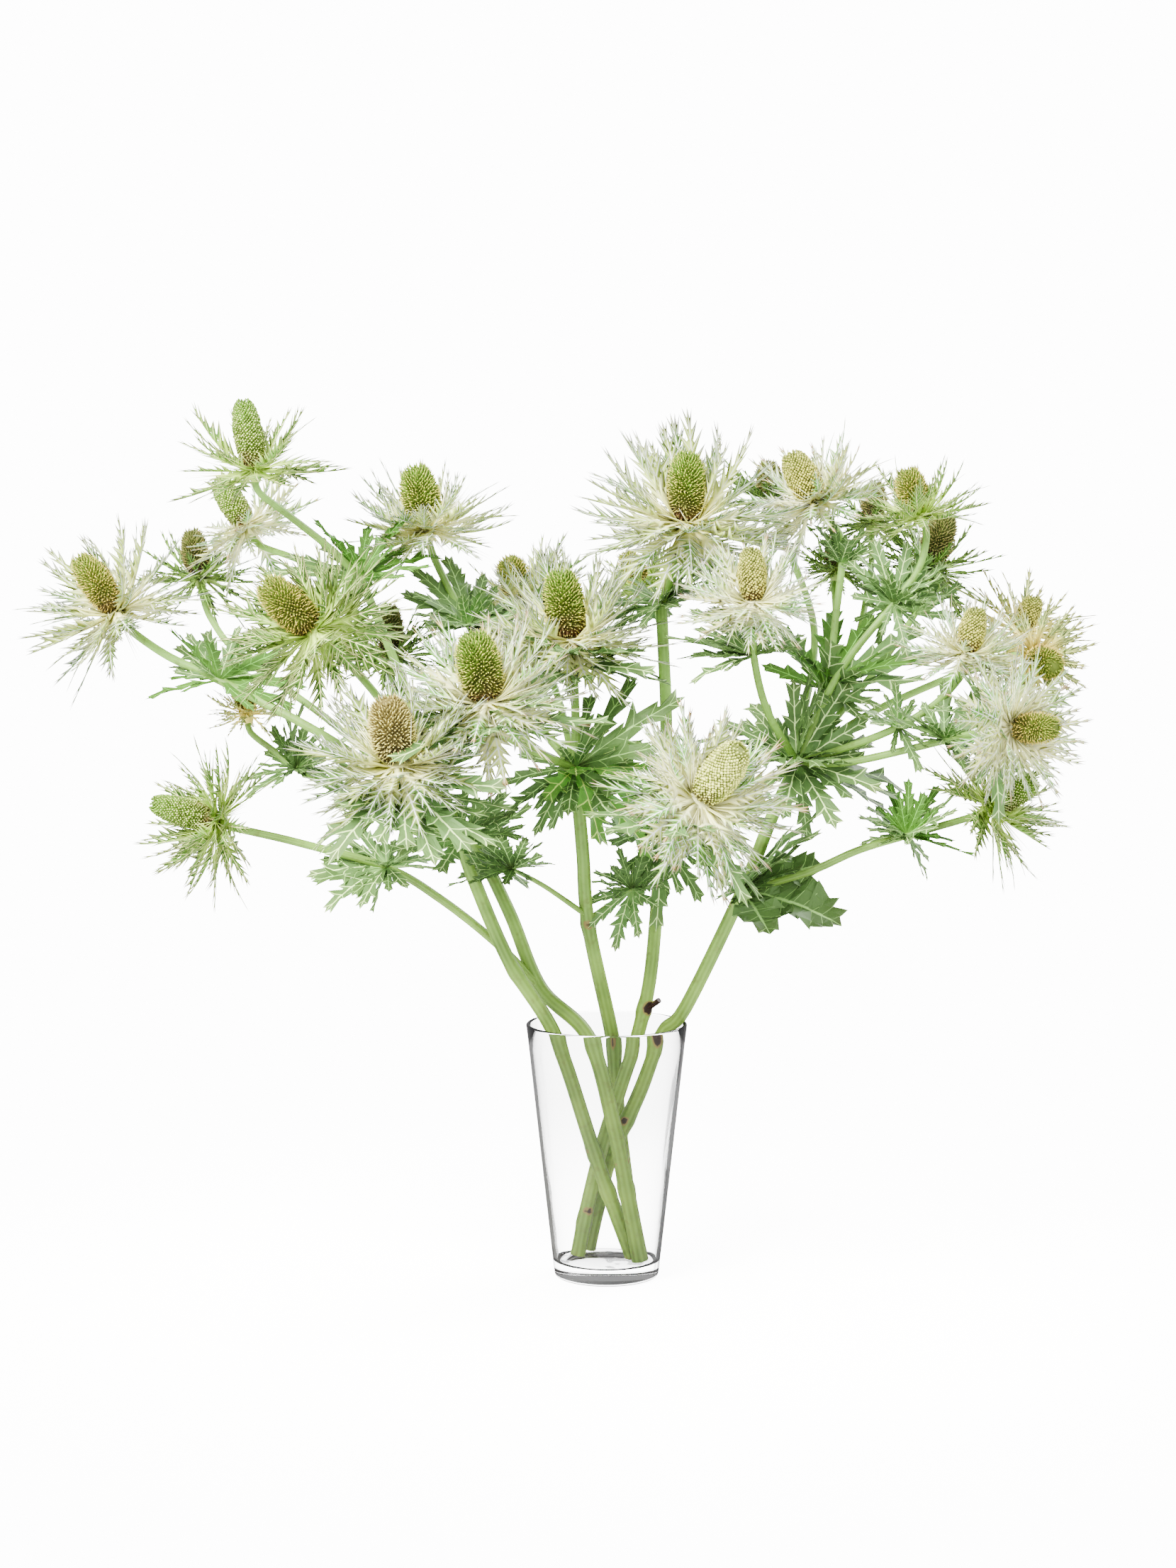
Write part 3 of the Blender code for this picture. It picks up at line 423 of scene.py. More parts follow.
def maths(tree, operation, *values):
    node = tree.nodes.new("ShaderNodeMath")
    node.operation = operation
    for socket, value in zip(node.inputs, values):
        feed(tree, socket, value)
    return node.outputs[0]


# %% A Geometry Nodes tree with named inputs
def new_tree(name, **inputs):
    """The tree, and its inputs' sockets by name. Each input is given as its name and kind."""
    tree = bpy.data.node_groups.new(name, "GeometryNodeTree")
    tree.interface.new_socket("Geometry", in_out="INPUT", socket_type="NodeSocketGeometry")
    tree.interface.new_socket("Geometry", in_out="OUTPUT", socket_type="NodeSocketGeometry")
    for label, kind in inputs.items():
        tree.interface.new_socket(label, in_out="INPUT", socket_type=f"NodeSocket{kind}")
    entry = tree.nodes.new("NodeGroupInput")
    return tree, {socket.name: socket for socket in entry.outputs if socket.name}


def close_tree(tree, geometry, finish):
    """Ends the tree with real geometry, because the export drops instances, and with its material."""
    real = add(tree, "GeometryNodeRealizeInstances", Geometry=geometry)
    dressed = add(tree, "GeometryNodeSetMaterial", Geometry=real, Material=finish)
    smooth = add(tree, "GeometryNodeSetShadeSmooth", Geometry=dressed)
    add(tree, "NodeGroupOutput", Geometry=smooth)


def stored(tree, geometry, name, value):
    """The geometry with a number stored at each point, for the finish to read."""
    settings = {"data_type": "FLOAT", "domain": "POINT"}
    return add(tree, "GeometryNodeStoreNamedAttribute", settings, Geometry=geometry, Name=name, Value=value)


def chance_of(tree, low, high, seed, shift=0, kind="FLOAT"):
    """A random value for each point. Each use in a tree shifts the seed by another number."""
    if shift:
        seed = maths(tree, "ADD", seed, float(shift))
    return add(tree, "FunctionNodeRandomValue", {"data_type": kind}, Min=low, Max=high, Seed=seed)


# %% Pieces: what a tree grows becomes a plain mesh at the origin
def piece_of(name, mesh):
    mesh.name = name
    piece = bpy.data.objects.new(name, mesh)
    bpy.context.scene.collection.objects.link(piece)
    return piece


def grown(name, data, tree, values, place=Matrix.Identity(4)):
    """The mesh that the tree makes of this mesh or curve, moved to its place."""
    source = piece_of(name + "_source", data)
    modifier = source.modifiers.new("Grow", "NODES")
    modifier.node_group = tree
    for item in tree.interface.items_tree:
        if item.in_out == "INPUT" and item.name in values:
            modifier[item.identifier] = values[item.name]
    graph = bpy.context.evaluated_depsgraph_get()
    mesh = bpy.data.meshes.new_from_object(source.evaluated_get(graph))
    source.modifiers.remove(modifier)
    bpy.data.objects.remove(source)
    mesh.transform(place)
    return mesh


def hand_over(piece, slot, *nodes):
    """Every piece of this object rides on its one body. Some stand for CAD nodes."""
    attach(piece, "root")
    if nodes:
        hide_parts(*nodes)
    print(piece.name, len(piece.data.polygons), "faces, stands for", nodes or "nothing")


# %% [markdown]
# ## Finishes
# Sea holly is never one colour. A bract is silver green with a white rib and white veins that run out into
# the spines, and it browns at its tips. A painted picture would need one for every blade, so the finishes
# read the marks stored in the blades instead, and add slow noise for the drift of colour from one side to
# the other, and fine noise for the skin.

# %% Shader helpers
def new_finish(name):
    material = bpy.data.materials.new(name)
    material.use_nodes = True
    tree = material.node_tree
    return material, tree, tree.nodes["Principled BSDF"]


def mixed(tree, factor, first, second, way="MIX"):
    settings = {"data_type": "RGBA", "blend_type": way}
    return socket_of(add(tree, "ShaderNodeMix", settings, Factor=factor, A=first, B=second).outputs, "Result")


def ramp(tree, factor, *stops):
    """A colour ramp from (place, colour) stops."""
    node = tree.nodes.new("ShaderNodeValToRGB")
    feed(tree, node.inputs["Fac"], factor)
    while len(node.color_ramp.elements) < len(stops):
        node.color_ramp.elements.new(0.5)
    for element, (place, colour) in zip(node.color_ramp.elements, stops):
        element.position = place
        element.color = colour if isinstance(colour, tuple) else (colour, colour, colour, 1.0)
    return node.outputs["Color"]


def mark(tree, name, output="Fac"):
    return add(tree, "ShaderNodeAttribute", {"attribute_name": name}).outputs[output]


def mottle(tree, scale, detail=3.0):
    """Noise from 0 to 1 on the object's own coordinates, with its scale in blotches a metre."""
    place = add(tree, "ShaderNodeTexCoord").outputs["Object"]
    return add(tree, "ShaderNodeTexNoise", Vector=place, Scale=scale, Detail=detail).outputs["Fac"]


def bumped(tree, shader, height, strength, distance):
    bump = add(tree, "ShaderNodeBump", Strength=strength, Distance=distance, Height=height)
    feed(tree, shader.inputs["Normal"], bump.outputs["Normal"])


# %% Bracts and leaves: blade, rib, outer and tip colours
def shaded(tree, colour, low, span):
    """The colour made darker or lighter by each piece's own tone."""
    shade = maths(tree, "MULTIPLY_ADD", mark(tree, "tone"), span, low)
    grey = add(tree, "ShaderNodeCombineColor", Red=shade, Green=shade, Blue=shade)
    return mixed(tree, 1.0, colour, grey, "MULTIPLY")


def blade_finish(name, *look):
    """look is the row of one of the two tables below. The drift of colour blends blade's two colours."""
    light, dark, rib, outer, tip, foot = (seen(*colour) for colour in look[:6])
    vein_share, browning, foot_share = look[6:]
    material, tree, shader = new_finish(name)
    marks = add(tree, "ShaderNodeSeparateColor", Color=mark(tree, "marks", "Color")).outputs
    drift = maths(tree, "MULTIPLY", maths(tree, "ADD", mottle(tree, 60.0), mark(tree, "tone")), 0.5)
    colour = mixed(tree, ramp(tree, drift, (0.35, 0.0), (0.65, 1.0)), light, dark)
    greening = ramp(tree, marks["Green"], (0.3, 0.0), (0.95, 0.85))
    colour = mixed(tree, greening, colour, outer)
    side_vein = ramp(tree, marks["Red"], (vein_share * 0.5, 0.8), (vein_share * 1.6, 0.0))
    middle_rib = ramp(tree, marks["Blue"], (vein_share * 0.7, 1.0), (vein_share * 1.5, 0.0))
    veins = maths(tree, "MAXIMUM", side_vein, middle_rib)
    colour = mixed(tree, maths(tree, "MULTIPLY", veins, 0.95), colour, rib)
    base = ramp(tree, marks["Green"], (foot_share * 0.4, 1.0), (foot_share, 0.0))
    colour = mixed(tree, base, colour, foot)
    patches = ramp(tree, mottle(tree, 160.0), (0.45, 0.0), (0.62, 1.0))
    end = ramp(tree, marks["Green"], (0.72, 0.0), (1.0, 1.0))
    browned = maths(tree, "MULTIPLY", maths(tree, "MULTIPLY", patches, end), browning)
    colour = mixed(tree, browned, colour, tip)
    feed(tree, shader.inputs["Base Color"], shaded(tree, colour, 0.66, 0.54))
    grain = mottle(tree, 2500.0, 2.0)
    feed(tree, shader.inputs["Roughness"], maths(tree, "MULTIPLY_ADD", grain, 0.2, 0.45))
    relief = maths(tree, "ADD", maths(tree, "MULTIPLY", veins, 0.7), maths(tree, "MULTIPLY", grain, 0.12))
    bumped(tree, shader, relief, 0.4, 0.0003)
    shader.inputs["Specular IOR Level"].default_value = 0.2
    return material


# Screen colours of the blade where it is light and dark, its veins, outer part, browned tip and foot. Then
# the veins' width, how brown the tips are, and how far up the foot's colour reaches.
RUFF_LOOKS = {
    "white": ((234, 243, 206), (178, 206, 134), (250, 252, 240), (166, 196, 130), (212, 168, 112),
              (248, 245, 218), 0.17, 0.75, 0.5),
    "silver": ((226, 238, 190), (160, 190, 116), (249, 251, 238), (132, 164, 100), (170, 140, 92),
               (246, 241, 212), 0.15, 0.4, 0.5),
    "fresh": ((186, 208, 128), (112, 158, 50), (236, 244, 214), (124, 162, 78), (150, 116, 68),
              (216, 224, 168), 0.11, 0.4, 0.5),
    "rusty": ((200, 210, 166), (154, 170, 106), (236, 234, 206), (150, 156, 96), (184, 132, 76),
              (226, 222, 178), 0.14, 0.6, 0.5),
    "dark": ((148, 176, 86), (94, 132, 46), (208, 222, 164), (104, 138, 56), (122, 90, 54),
             (196, 204, 144), 0.1, 0.7, 0.3),
}
LEAF_LOOKS = {
    "deep": ((166, 193, 132), (122, 158, 94), (210, 224, 190), (130, 164, 94), (120, 100, 60),
             (150, 176, 112), 0.055, 0.3, 0.2),
    "bright": ((148, 190, 92), (112, 162, 58), (190, 216, 144), (112, 158, 60), (120, 110, 60),
               (150, 190, 96), 0.05, 0.3, 0.25),
    "light": ((186, 216, 144), (146, 190, 98), (226, 240, 198), (138, 180, 86), (120, 110, 60),
              (196, 220, 152), 0.07, 0.3, 0.25),
    "mint": ((168, 196, 138), (128, 164, 100), (224, 234, 208), (142, 174, 118), (150, 130, 80),
             (190, 208, 160), 0.07, 0.3, 0.25),
}
RUFF_FINISHES = {look: blade_finish(f"bract {look}", *row) for look, row in RUFF_LOOKS.items()}
LEAF_FINISHES = {look: blade_finish(f"leaf {look}", *row) for look, row in LEAF_LOOKS.items()}
print(len(RUFF_FINISHES), "bract finishes,", len(LEAF_FINISHES), "leaf finishes")


# %% Florets: each cone drifts from its foot to its top, and its florets' caps pale towards the foot
def cone_finish(name, *look):
    """look is a row of the table below."""
    foot, middle, top, cap = (seen(*colour) for colour in look[:4])
    cap_share, cap_low, cap_high = look[4:]
    material, tree, shader = new_finish(name)
    drift = ramp(tree, mottle(tree, 140.0), (0.3, 0.0), (0.7, 1.0))
    height = maths(tree, "MULTIPLY_ADD", drift, 0.3, maths(tree, "SUBTRACT", mark(tree, "height"), 0.15))
    colour = ramp(tree, height, (0.04, foot), (0.3, middle), (0.8, top))
    capped = ramp(tree, mark(tree, "tip"), (cap_share, 0.0), (min(1.0, cap_share + 0.25), 1.0))
    amount = ramp(tree, height, (0.1, cap_low), (0.8, cap_high))
    colour = mixed(tree, maths(tree, "MULTIPLY", capped, amount), colour, cap)
    feed(tree, shader.inputs["Base Color"], shaded(tree, colour, 0.62, 0.56))
    grain = mottle(tree, 3000.0, 2.0)
    feed(tree, shader.inputs["Roughness"], maths(tree, "MULTIPLY_ADD", grain, 0.2, 0.6))
    bumped(tree, shader, grain, 0.3, 0.0003)
    shader.inputs["Specular IOR Level"].default_value = 0.2
    return material


# Screen colours at the cone's foot, middle and top, and of the florets' caps. Then the height of a floret at
# which its cap starts, and how strong the caps are low and high on the cone.
CONE_LOOKS = {
    "dotted": ((140, 122, 70), (136, 162, 62), (146, 180, 64), (242, 244, 210), 0.85, 1.0, 1.0),
    "bristly": ((128, 100, 56), (138, 152, 58), (150, 178, 62), (236, 228, 178), 0.55, 1.0, 0.5),
    "brown": ((82, 64, 46), (160, 146, 92), (186, 176, 118), (240, 230, 200), 0.42, 1.0, 0.5),
    "cream": ((158, 148, 88), (178, 188, 100), (196, 200, 130), (240, 238, 198), 0.6, 0.9, 0.8),
    "tan": ((148, 126, 76), (154, 160, 78), (168, 176, 90), (220, 218, 158), 0.6, 0.9, 0.7),
    "olive": ((140, 124, 66), (156, 163, 70), (168, 182, 76), (226, 218, 160), 0.5, 0.9, 0.55),
    "dark": ((100, 84, 52), (124, 130, 66), (142, 156, 78), (200, 194, 140), 0.5, 0.8, 0.5),
}
CONE_FINISHES = {look: cone_finish(f"cone {look}", *row) for look, row in CONE_LOOKS.items()}
print(len(CONE_FINISHES), "cone finishes")

# %% [markdown]
# ## Cones
# A sea holly's cone is a spiral of florets. Each new one turns by the golden angle from the last, which is
# why the eye sees crossing rows. Placing hundreds of florets by hand would be slow, and a bump in a material
# would vanish in the outline. So a Geometry Nodes tree repeats the plant's own rule: it sets a point for each
# floret on the cone's outline and puts one small floret on each.

# %% One floret
def floret(name, rings, sides, cap):
    """A turned bud along Z from (radius, height) rings, which remembers how high up it each point is."""
    points, faces = turned(((0, rings[0][1]), *rings, (0, cap)), sides)
    mesh = bpy.data.meshes.new(name)
    mesh.from_pydata(points, [], faces)
    tips = np.array([max(0.0, point[2] / cap) for point in points], np.float32)
    mesh.attributes.new("tip", "FLOAT", "POINT").data.foreach_set("value", tips)
    return piece_of(name, mesh)


# Shapes in shares of the floret's size: a round bead, and a slim pointed bristle.
FLORETS = {
    "bead": floret("bead", ((0.30, -0.5), (0.56, 0.1), (0.48, 0.55), (0.22, 0.85)), 6, 0.95),
    "bristle": floret("bristle", ((0.32, -0.5), (0.46, 0.1), (0.2, 0.9)), 5, 1.8),
}
print({name: len(piece.data.polygons) for name, piece in FLORETS.items()}, "faces a floret")

# %% The spiral tree
spiral, given = new_tree(
    "Floret spiral", Floret="Object", Count="Int", Girth="Float", Length="Float", Size="Float",
    Rise="Float", Shoulder="Float", Taper="Float", Seed="Int", Finish="Material",
)
number = add(spiral, "GeometryNodeInputIndex")
share = maths(spiral, "DIVIDE", maths(spiral, "ADD", number, 0.5), given["Count"])
angle = maths(spiral, "ARCCOSINE", maths(spiral, "MULTIPLY_ADD", share, -2.0, 1.0))
run = maths(spiral, "DIVIDE", angle, math.pi)
bulge = maths(spiral, "POWER", maths(spiral, "SINE", angle), given["Shoulder"])
slim = maths(spiral, "SUBTRACT", 1.0, maths(spiral, "MULTIPLY", run, given["Taper"]))
girth = maths(spiral, "MULTIPLY", maths(spiral, "MULTIPLY", bulge, slim), given["Girth"])
level = maths(spiral, "MULTIPLY", maths(spiral, "ADD", run, share), 0.5)
turn = maths(spiral, "MULTIPLY", number, GOLDEN_TURN)
cosine, sine = maths(spiral, "COSINE", turn), maths(spiral, "SINE", turn)
place = add(
    spiral, "ShaderNodeCombineXYZ", X=maths(spiral, "MULTIPLY", cosine, girth),
    Y=maths(spiral, "MULTIPLY", sine, girth), Z=maths(spiral, "MULTIPLY", level, given["Length"]),
)
outward = maths(spiral, "SINE", angle)
upward = maths(spiral, "MULTIPLY_ADD", maths(spiral, "COSINE", angle), -0.7, given["Rise"])
even_facing = add(
    spiral, "ShaderNodeCombineXYZ", X=maths(spiral, "MULTIPLY", cosine, outward),
    Y=maths(spiral, "MULTIPLY", sine, outward), Z=upward,
)
points = add(spiral, "GeometryNodePoints", Count=given["Count"], Position=place)
points = stored(spiral, points, "height", level)
points = stored(spiral, points, "tone", chance_of(spiral, 0.0, 1.0, given["Seed"]))
stray = chance_of(spiral, (-0.3, -0.3, -0.3), (0.3, 0.3, 0.3), given["Seed"], 2, "FLOAT_VECTOR")
facing = add(spiral, "ShaderNodeVectorMath", {"operation": "ADD"})
spiral.links.new(even_facing.outputs[0], facing.inputs[0])
spiral.links.new(stray.outputs[0], facing.inputs[1])
heading = add(spiral, "FunctionNodeAlignRotationToVector", {"axis": "Z"}, Vector=facing)
growth = chance_of(spiral, 0.75, 1.25, given["Seed"], 1)
crowding = maths(spiral, "MULTIPLY_ADD", outward, 0.35, 0.65)
size = maths(spiral, "MULTIPLY", maths(spiral, "MULTIPLY", growth, crowding), given["Size"])
florets = add(
    spiral, "GeometryNodeInstanceOnPoints", Points=points, Rotation=heading, Scale=size,
    Instance=add(spiral, "GeometryNodeObjectInfo", Object=given["Floret"]).outputs["Geometry"],
)
cone = add(spiral, "GeometryNodeJoinGeometry", Geometry=florets)
spiral.links.new(given["Geometry"], cone.inputs["Geometry"])
close_tree(spiral, cone, given["Finish"])
print(len(spiral.nodes), "nodes in the spiral")

# %% The core that the florets stand on
CONE_SHOULDER, CONE_TAPER, COLLAR_ABOVE, GAP = 0.4, 0.12, 1.2, 0.35
CORE_SHARE = 0.88


def cone_profile(radius, length, steps):
    """(distance from the axis, height) from the cone's foot to its top."""
    for step in range(steps + 1):
        run = step / steps
        angle = math.pi * run
        bulge = math.sin(angle) ** CONE_SHOULDER if 0 < step < steps else 0.0
        yield radius * bulge * (1 - CONE_TAPER * run), length * (run + (1 - math.cos(angle)) / 2) / 2


def core_mesh(radius, length, sides=20, steps=12):
    points, faces = turned(list(cone_profile(radius, length, steps)), sides)
    mesh = bpy.data.meshes.new("core")
    mesh.from_pydata([Vector(point) * MM for point in points], [], faces)
    heights = np.array([point[2] / length for point in points], np.float32)
    mesh.attributes.new("height", "FLOAT", "POINT").data.foreach_set("value", heights)
    return mesh


def head_frame(name, lean=(0, 0, 0)):
    """The head's own axes: origin in the collar's middle, Z along its aim, or leaning from it."""
    seat, aim = HEADS[name][:2]
    leaning = (Vector(aim).normalized() + Vector(lean)).normalized()
    return Matrix.Translation(Vector(seat) * MM) @ leaning.to_track_quat("Z", "Y").to_matrix().to_4x4()


# %% Grow every cone
FLORET_OF = {"dotted": "bead", "tan": "bead", "cream": "bead"}
SPACING = {"bead": 1.6, "bristle": 1.65}
SLOT_OF_CONE = {"brown": "cone_brown", "dark": "cone_brown"}


def grow_cone(number, name):
    radius, length, _, look = HEADS[name][2:6]
    kind = FLORET_OF.get(look, "bristle")
    spacing = SPACING[kind] * (0.62 + 0.038 * radius)  # a large cone has larger florets
    area = math.tau * radius * length * 0.8
    place = head_frame(name) @ Matrix.Translation((0, 0, (COLLAR_ABOVE + GAP) * MM))
    mesh = grown(name, core_mesh(radius * CORE_SHARE, length * 0.95), spiral, {
        "Floret": FLORETS[kind],
        "Count": round(area / (0.87 * spacing**2)),
        "Girth": (radius * 0.95 - spacing * 0.35) * MM,
        "Length": length * 0.97 * MM,
        "Size": spacing * 1.05 * MM,
        "Rise": 0.35,
        "Shoulder": CONE_SHOULDER,
        "Taper": CONE_TAPER,
        "Seed": number * 10,
        "Finish": CONE_FINISHES[look],
    }, place)
    return piece_of(name.replace("head", "florets"), mesh)


for number, name in enumerate(HEADS):
    cone = grow_cone(number, name)
    node = name if name in ONE_PIECE_HEADS else name.replace("head", "cone")
    hand_over(cone, SLOT_OF_CONE.get(HEADS[name][5], "cone_green"), node)
for piece in FLORETS.values():
    bpy.data.objects.remove(piece)

# %% [markdown]
# ## Ruffs
# Under each cone stands a ruff of bracts: stiff, narrow blades cut into forked spines. We build a few
# different ones at a length of 1, and let a second tree set them round the collar. It too turns by the
# golden angle, so upper and lower bracts fall between each other. The upper ones stand steeper, and those at
# the front open further, as the ruffs in the photograph do, so that the cone shows.

# %% A forked blade: a narrow middle with long lobes that lean to the tip
def forked_rows(chance, forks, middle, spread, lean, first, last):
    """Rows for closed_blade, in shares of the length. middle and spread are the half widths at a station."""
    pitch = (last - first) / forks
    half = 0.44 * pitch
    rows = [(0.0, (0.0, middle), (0.0, middle), 1.0)]
    for fork in range(forks):
        station = first + (fork + 0.5 + chance.uniform(-0.15, 0.15)) * pitch
        width = middle * (0.7 + 0.5 * math.sin(math.pi * station)) * (1 - station**3)
        tips = [
            (min(0.99, station + lean * chance.uniform(0.7, 1.25)),
             spread(station) * chance.uniform(0.65, 1.15))
            for _ in range(2)
        ]
        low, high = station - half, station + half
        rows.append((low - 0.01, (low, width), (low, width), 1.0))
        rows.append((low + 0.01, *tips, 0.0))
        rows.append((high, (high, width), (high, width), 1.0))
    rows.append((1.0, (1.0, 0.0), (1.0, 0.0), 0.0))
    return rows


def spread_of(width):
    """How far the lobes reach: the longest just before the middle, short ones near the root and the tip."""

    def spread(station):
        swelling = math.sin(math.pi * min(1.0, station + 0.08)) ** 0.8
        return width * swelling * (1.3 - 0.9 * station) + 0.015

    return spread


# %% Bracts, each bent its own way, and a tuft of threads
def bract(name, chance, forks, middle, width, lean):
    """A forked blade along Z, 1 long. Its outer side looks along X, and each lobe lifts its own way."""
    bend, cup, sway = chance.uniform(-0.6, 0.4), chance.uniform(0.0, 0.45), chance.uniform(-0.3, 0.3)
    lifts = [chance.uniform(-0.05, 0.05) for _ in range(16)]

    def place(station, across, lift):
        share = min(1.0, abs(across) / width)
        turn = int(station * 7) * 2 + (across > 0)
        out = (1 - math.cos(bend * station)) / bend - lift - cup * abs(across) + lifts[turn] * share
        return out / MM, (across + sway * station**2 * 0.3) / MM, math.sin(bend * station) / bend / MM

    rows = forked_rows(chance, forks, middle, spread_of(width), lean, 0.24, 0.9)
    points, faces, marks = closed_blade(rows, place, 0.016, mids=False)
    return piece_of(name, marked_mesh(name, [(points, faces, marks, 0.5)]))


def tuft(name, chance, threads, thick=0.008):
    """Fine spines that spread from one root, as round the foot of a cone."""
    root = [(thick * x / MM, thick * y / MM, 0) for x, y in ((1, 0), (-0.5, 0.87), (-0.5, -0.87))]
    faces = [(0, 1, 3), (1, 2, 3), (2, 0, 3), (2, 1, 0)]
    shapes = []
    for _ in range(threads):
        length, lean, side = chance.uniform(0.3, 0.75), chance.uniform(-0.3, 0.3), chance.uniform(-0.3, 0.3)
        points = [*root, (lean * length / MM, side * length / MM, length / MM)]
        shapes.append((points, faces, [(0.1, 0.0, 0.0, 1.0)] * 3 + [(0.1, 0.5, 0.0, 1.0)], 0.5))
    return piece_of(name, marked_mesh(name, shapes))


def bract_set(label, forks, middle, width, lean, tufts):
    """Bracts and tufts in a collection of their own, for the ruff's tree to pick from."""
    group = bpy.data.collections.new(label)
    bpy.context.scene.collection.children.link(group)
    pieces = [
        bract(f"{label} {number}", random.Random(f"{label}{number}"), forks, middle, width, lean)
        for number in range(BRACT_KINDS - tufts)
    ]
    pieces += [tuft(f"{label} tuft {number}", random.Random(number), 7) for number in range(tufts)]
    for piece in pieces:
        bpy.context.scene.collection.objects.unlink(piece)
        group.objects.link(piece)
        piece.data.attributes.remove(piece.data.attributes["tone"])
    print(label, [len(piece.data.polygons) for piece in pieces], "faces")
    return group


BRACT_KINDS = 8
BRACTS = {
    "spiny": bract_set("spiny", 6, 0.036, 0.17, 0.15, 2),
    "narrow": bract_set("narrow", 5, 0.032, 0.11, 0.13, 1),
}

# %% The ruff tree
ring, given = new_tree(
    "Ruff", Bracts="Collection", Count="Int", Ring="Float", Drop="Float", Steep="Float", Wide="Float",
    Reach="Float", Front="Float", Opening="Float", Seed="Int", Finish="Material",
)
number = add(ring, "GeometryNodeInputIndex")
share = maths(ring, "DIVIDE", maths(ring, "ADD", number, 0.5), given["Count"])
turn = maths(ring, "MULTIPLY", number, GOLDEN_TURN)
place = add(
    ring, "ShaderNodeCombineXYZ", X=maths(ring, "MULTIPLY", maths(ring, "COSINE", turn), given["Ring"]),
    Y=maths(ring, "MULTIPLY", maths(ring, "SINE", turn), given["Ring"]),
    Z=maths(ring, "MULTIPLY", maths(ring, "SUBTRACT", 0.5, share), given["Drop"]),
)
points = add(ring, "GeometryNodePoints", Count=given["Count"], Position=place)
points = stored(ring, points, "tone", chance_of(ring, 0.0, 1.0, given["Seed"]))
spread = maths(ring, "SUBTRACT", given["Wide"], given["Steep"])
tilt = maths(ring, "MULTIPLY_ADD", share, spread, given["Steep"])
tilt = maths(ring, "ADD", tilt, chance_of(ring, -0.16, 0.16, given["Seed"], 1))
frontness = maths(ring, "MAXIMUM", maths(ring, "COSINE", maths(ring, "SUBTRACT", turn, given["Front"])), 0.0)
opening = maths(ring, "MULTIPLY", frontness, maths(ring, "SUBTRACT", 1.0, share))
tilt = maths(ring, "MULTIPLY_ADD", opening, given["Opening"], tilt)
turn = maths(ring, "ADD", turn, chance_of(ring, -0.12, 0.12, given["Seed"], 2))
pose = add(ring, "FunctionNodeEulerToRotation", Euler=add(ring, "ShaderNodeCombineXYZ", Y=tilt, Z=turn))
roll = chance_of(ring, -0.35, 0.35, given["Seed"], 3)
rolled = add(ring, "FunctionNodeEulerToRotation", Euler=add(ring, "ShaderNodeCombineXYZ", Z=roll))
pose = add(ring, "FunctionNodeRotateRotation", {"rotation_space": "LOCAL"}, Rotation=pose, Rotate_By=rolled)
layer = maths(ring, "MULTIPLY_ADD", share, 0.08, 0.92)
growth = chance_of(ring, 0.84, 1.14, given["Seed"], 4)
size = maths(ring, "MULTIPLY", maths(ring, "MULTIPLY", layer, growth), given["Reach"])
chosen = chance_of(ring, 0, BRACT_KINDS - 1, given["Seed"], 5, "INT")
bracts = add(
    ring, "GeometryNodeInstanceOnPoints", Points=points, Rotation=pose, Scale=size, Pick_Instance=True,
    Instance_Index=chosen,
    Instance=add(
        ring, "GeometryNodeCollectionInfo", Collection=given["Bracts"], Separate_Children=True,
        Reset_Children=True,
    ),
)
ruff = add(ring, "GeometryNodeJoinGeometry", Geometry=bracts)
ring.links.new(given["Geometry"], ruff.inputs["Geometry"])
close_tree(ring, ruff, given["Finish"])
print(len(ring.nodes), "nodes in the ruff")

# %% The collar that carries the bracts
COLLAR_SHARE, COLLAR_MARGIN, COLLAR_BELOW = 0.6, 1.0, 1.8


def collar_mesh(radius, sides=24):
    """A turned cup from the stem's neck to the cone's foot, in the head's own axes."""
    neck = ((0, -6.0), (2.3, -6.0), (2.9, -4.0))
    cup = ((0.8 * radius, -1.6), (radius, 0.2), (0.9 * radius, 1.3), (0, 1.5))
    points, faces = turned((*neck, *cup), sides)
    return marked_mesh("collar", [(points, faces, [(0.5, 0.1, 0.5, 1.0)] * len(points), 0.5)])


# %% Grow every ruff
BRACT_SET = {"dark": "narrow", "rusty": "narrow"}
# For each look: how many bracts, and the angles of the steepest and of the widest from the cone's axis. Five
# heads that stand out in the photograph have numbers of their own.
RUFFS = {
    "white": (100, 24, 120), "silver": (100, 22, 118), "fresh": (84, 22, 122), "rusty": (50, 24, 116),
    "dark": (60, 24, 122),
}
OWN_RUFFS = {
    "head_01": (46, 28, 104), "head_02": (60, 44, 126), "head_04": (84, 24, 120), "head_05": (110, 24, 130),
    "head_15": (64, 10, 112),
}
OPEN_RUFFS = ("head_04", "head_05", "head_08", "head_09", "head_10", "head_11", "head_12", "head_14")
OPEN_LEAN = (0, -0.25, 0)  # these ruffs open towards the front more than their cones do
OPENING = 58  # degrees by which the inner bracts at the front lie lower, so that they don't hide the cone
RUFF_DROP = 3.0  # from the highest bract's root to the lowest
SLOT_OF_RUFF = {"dark": "ruff_green", "rusty": "ruff_green"}


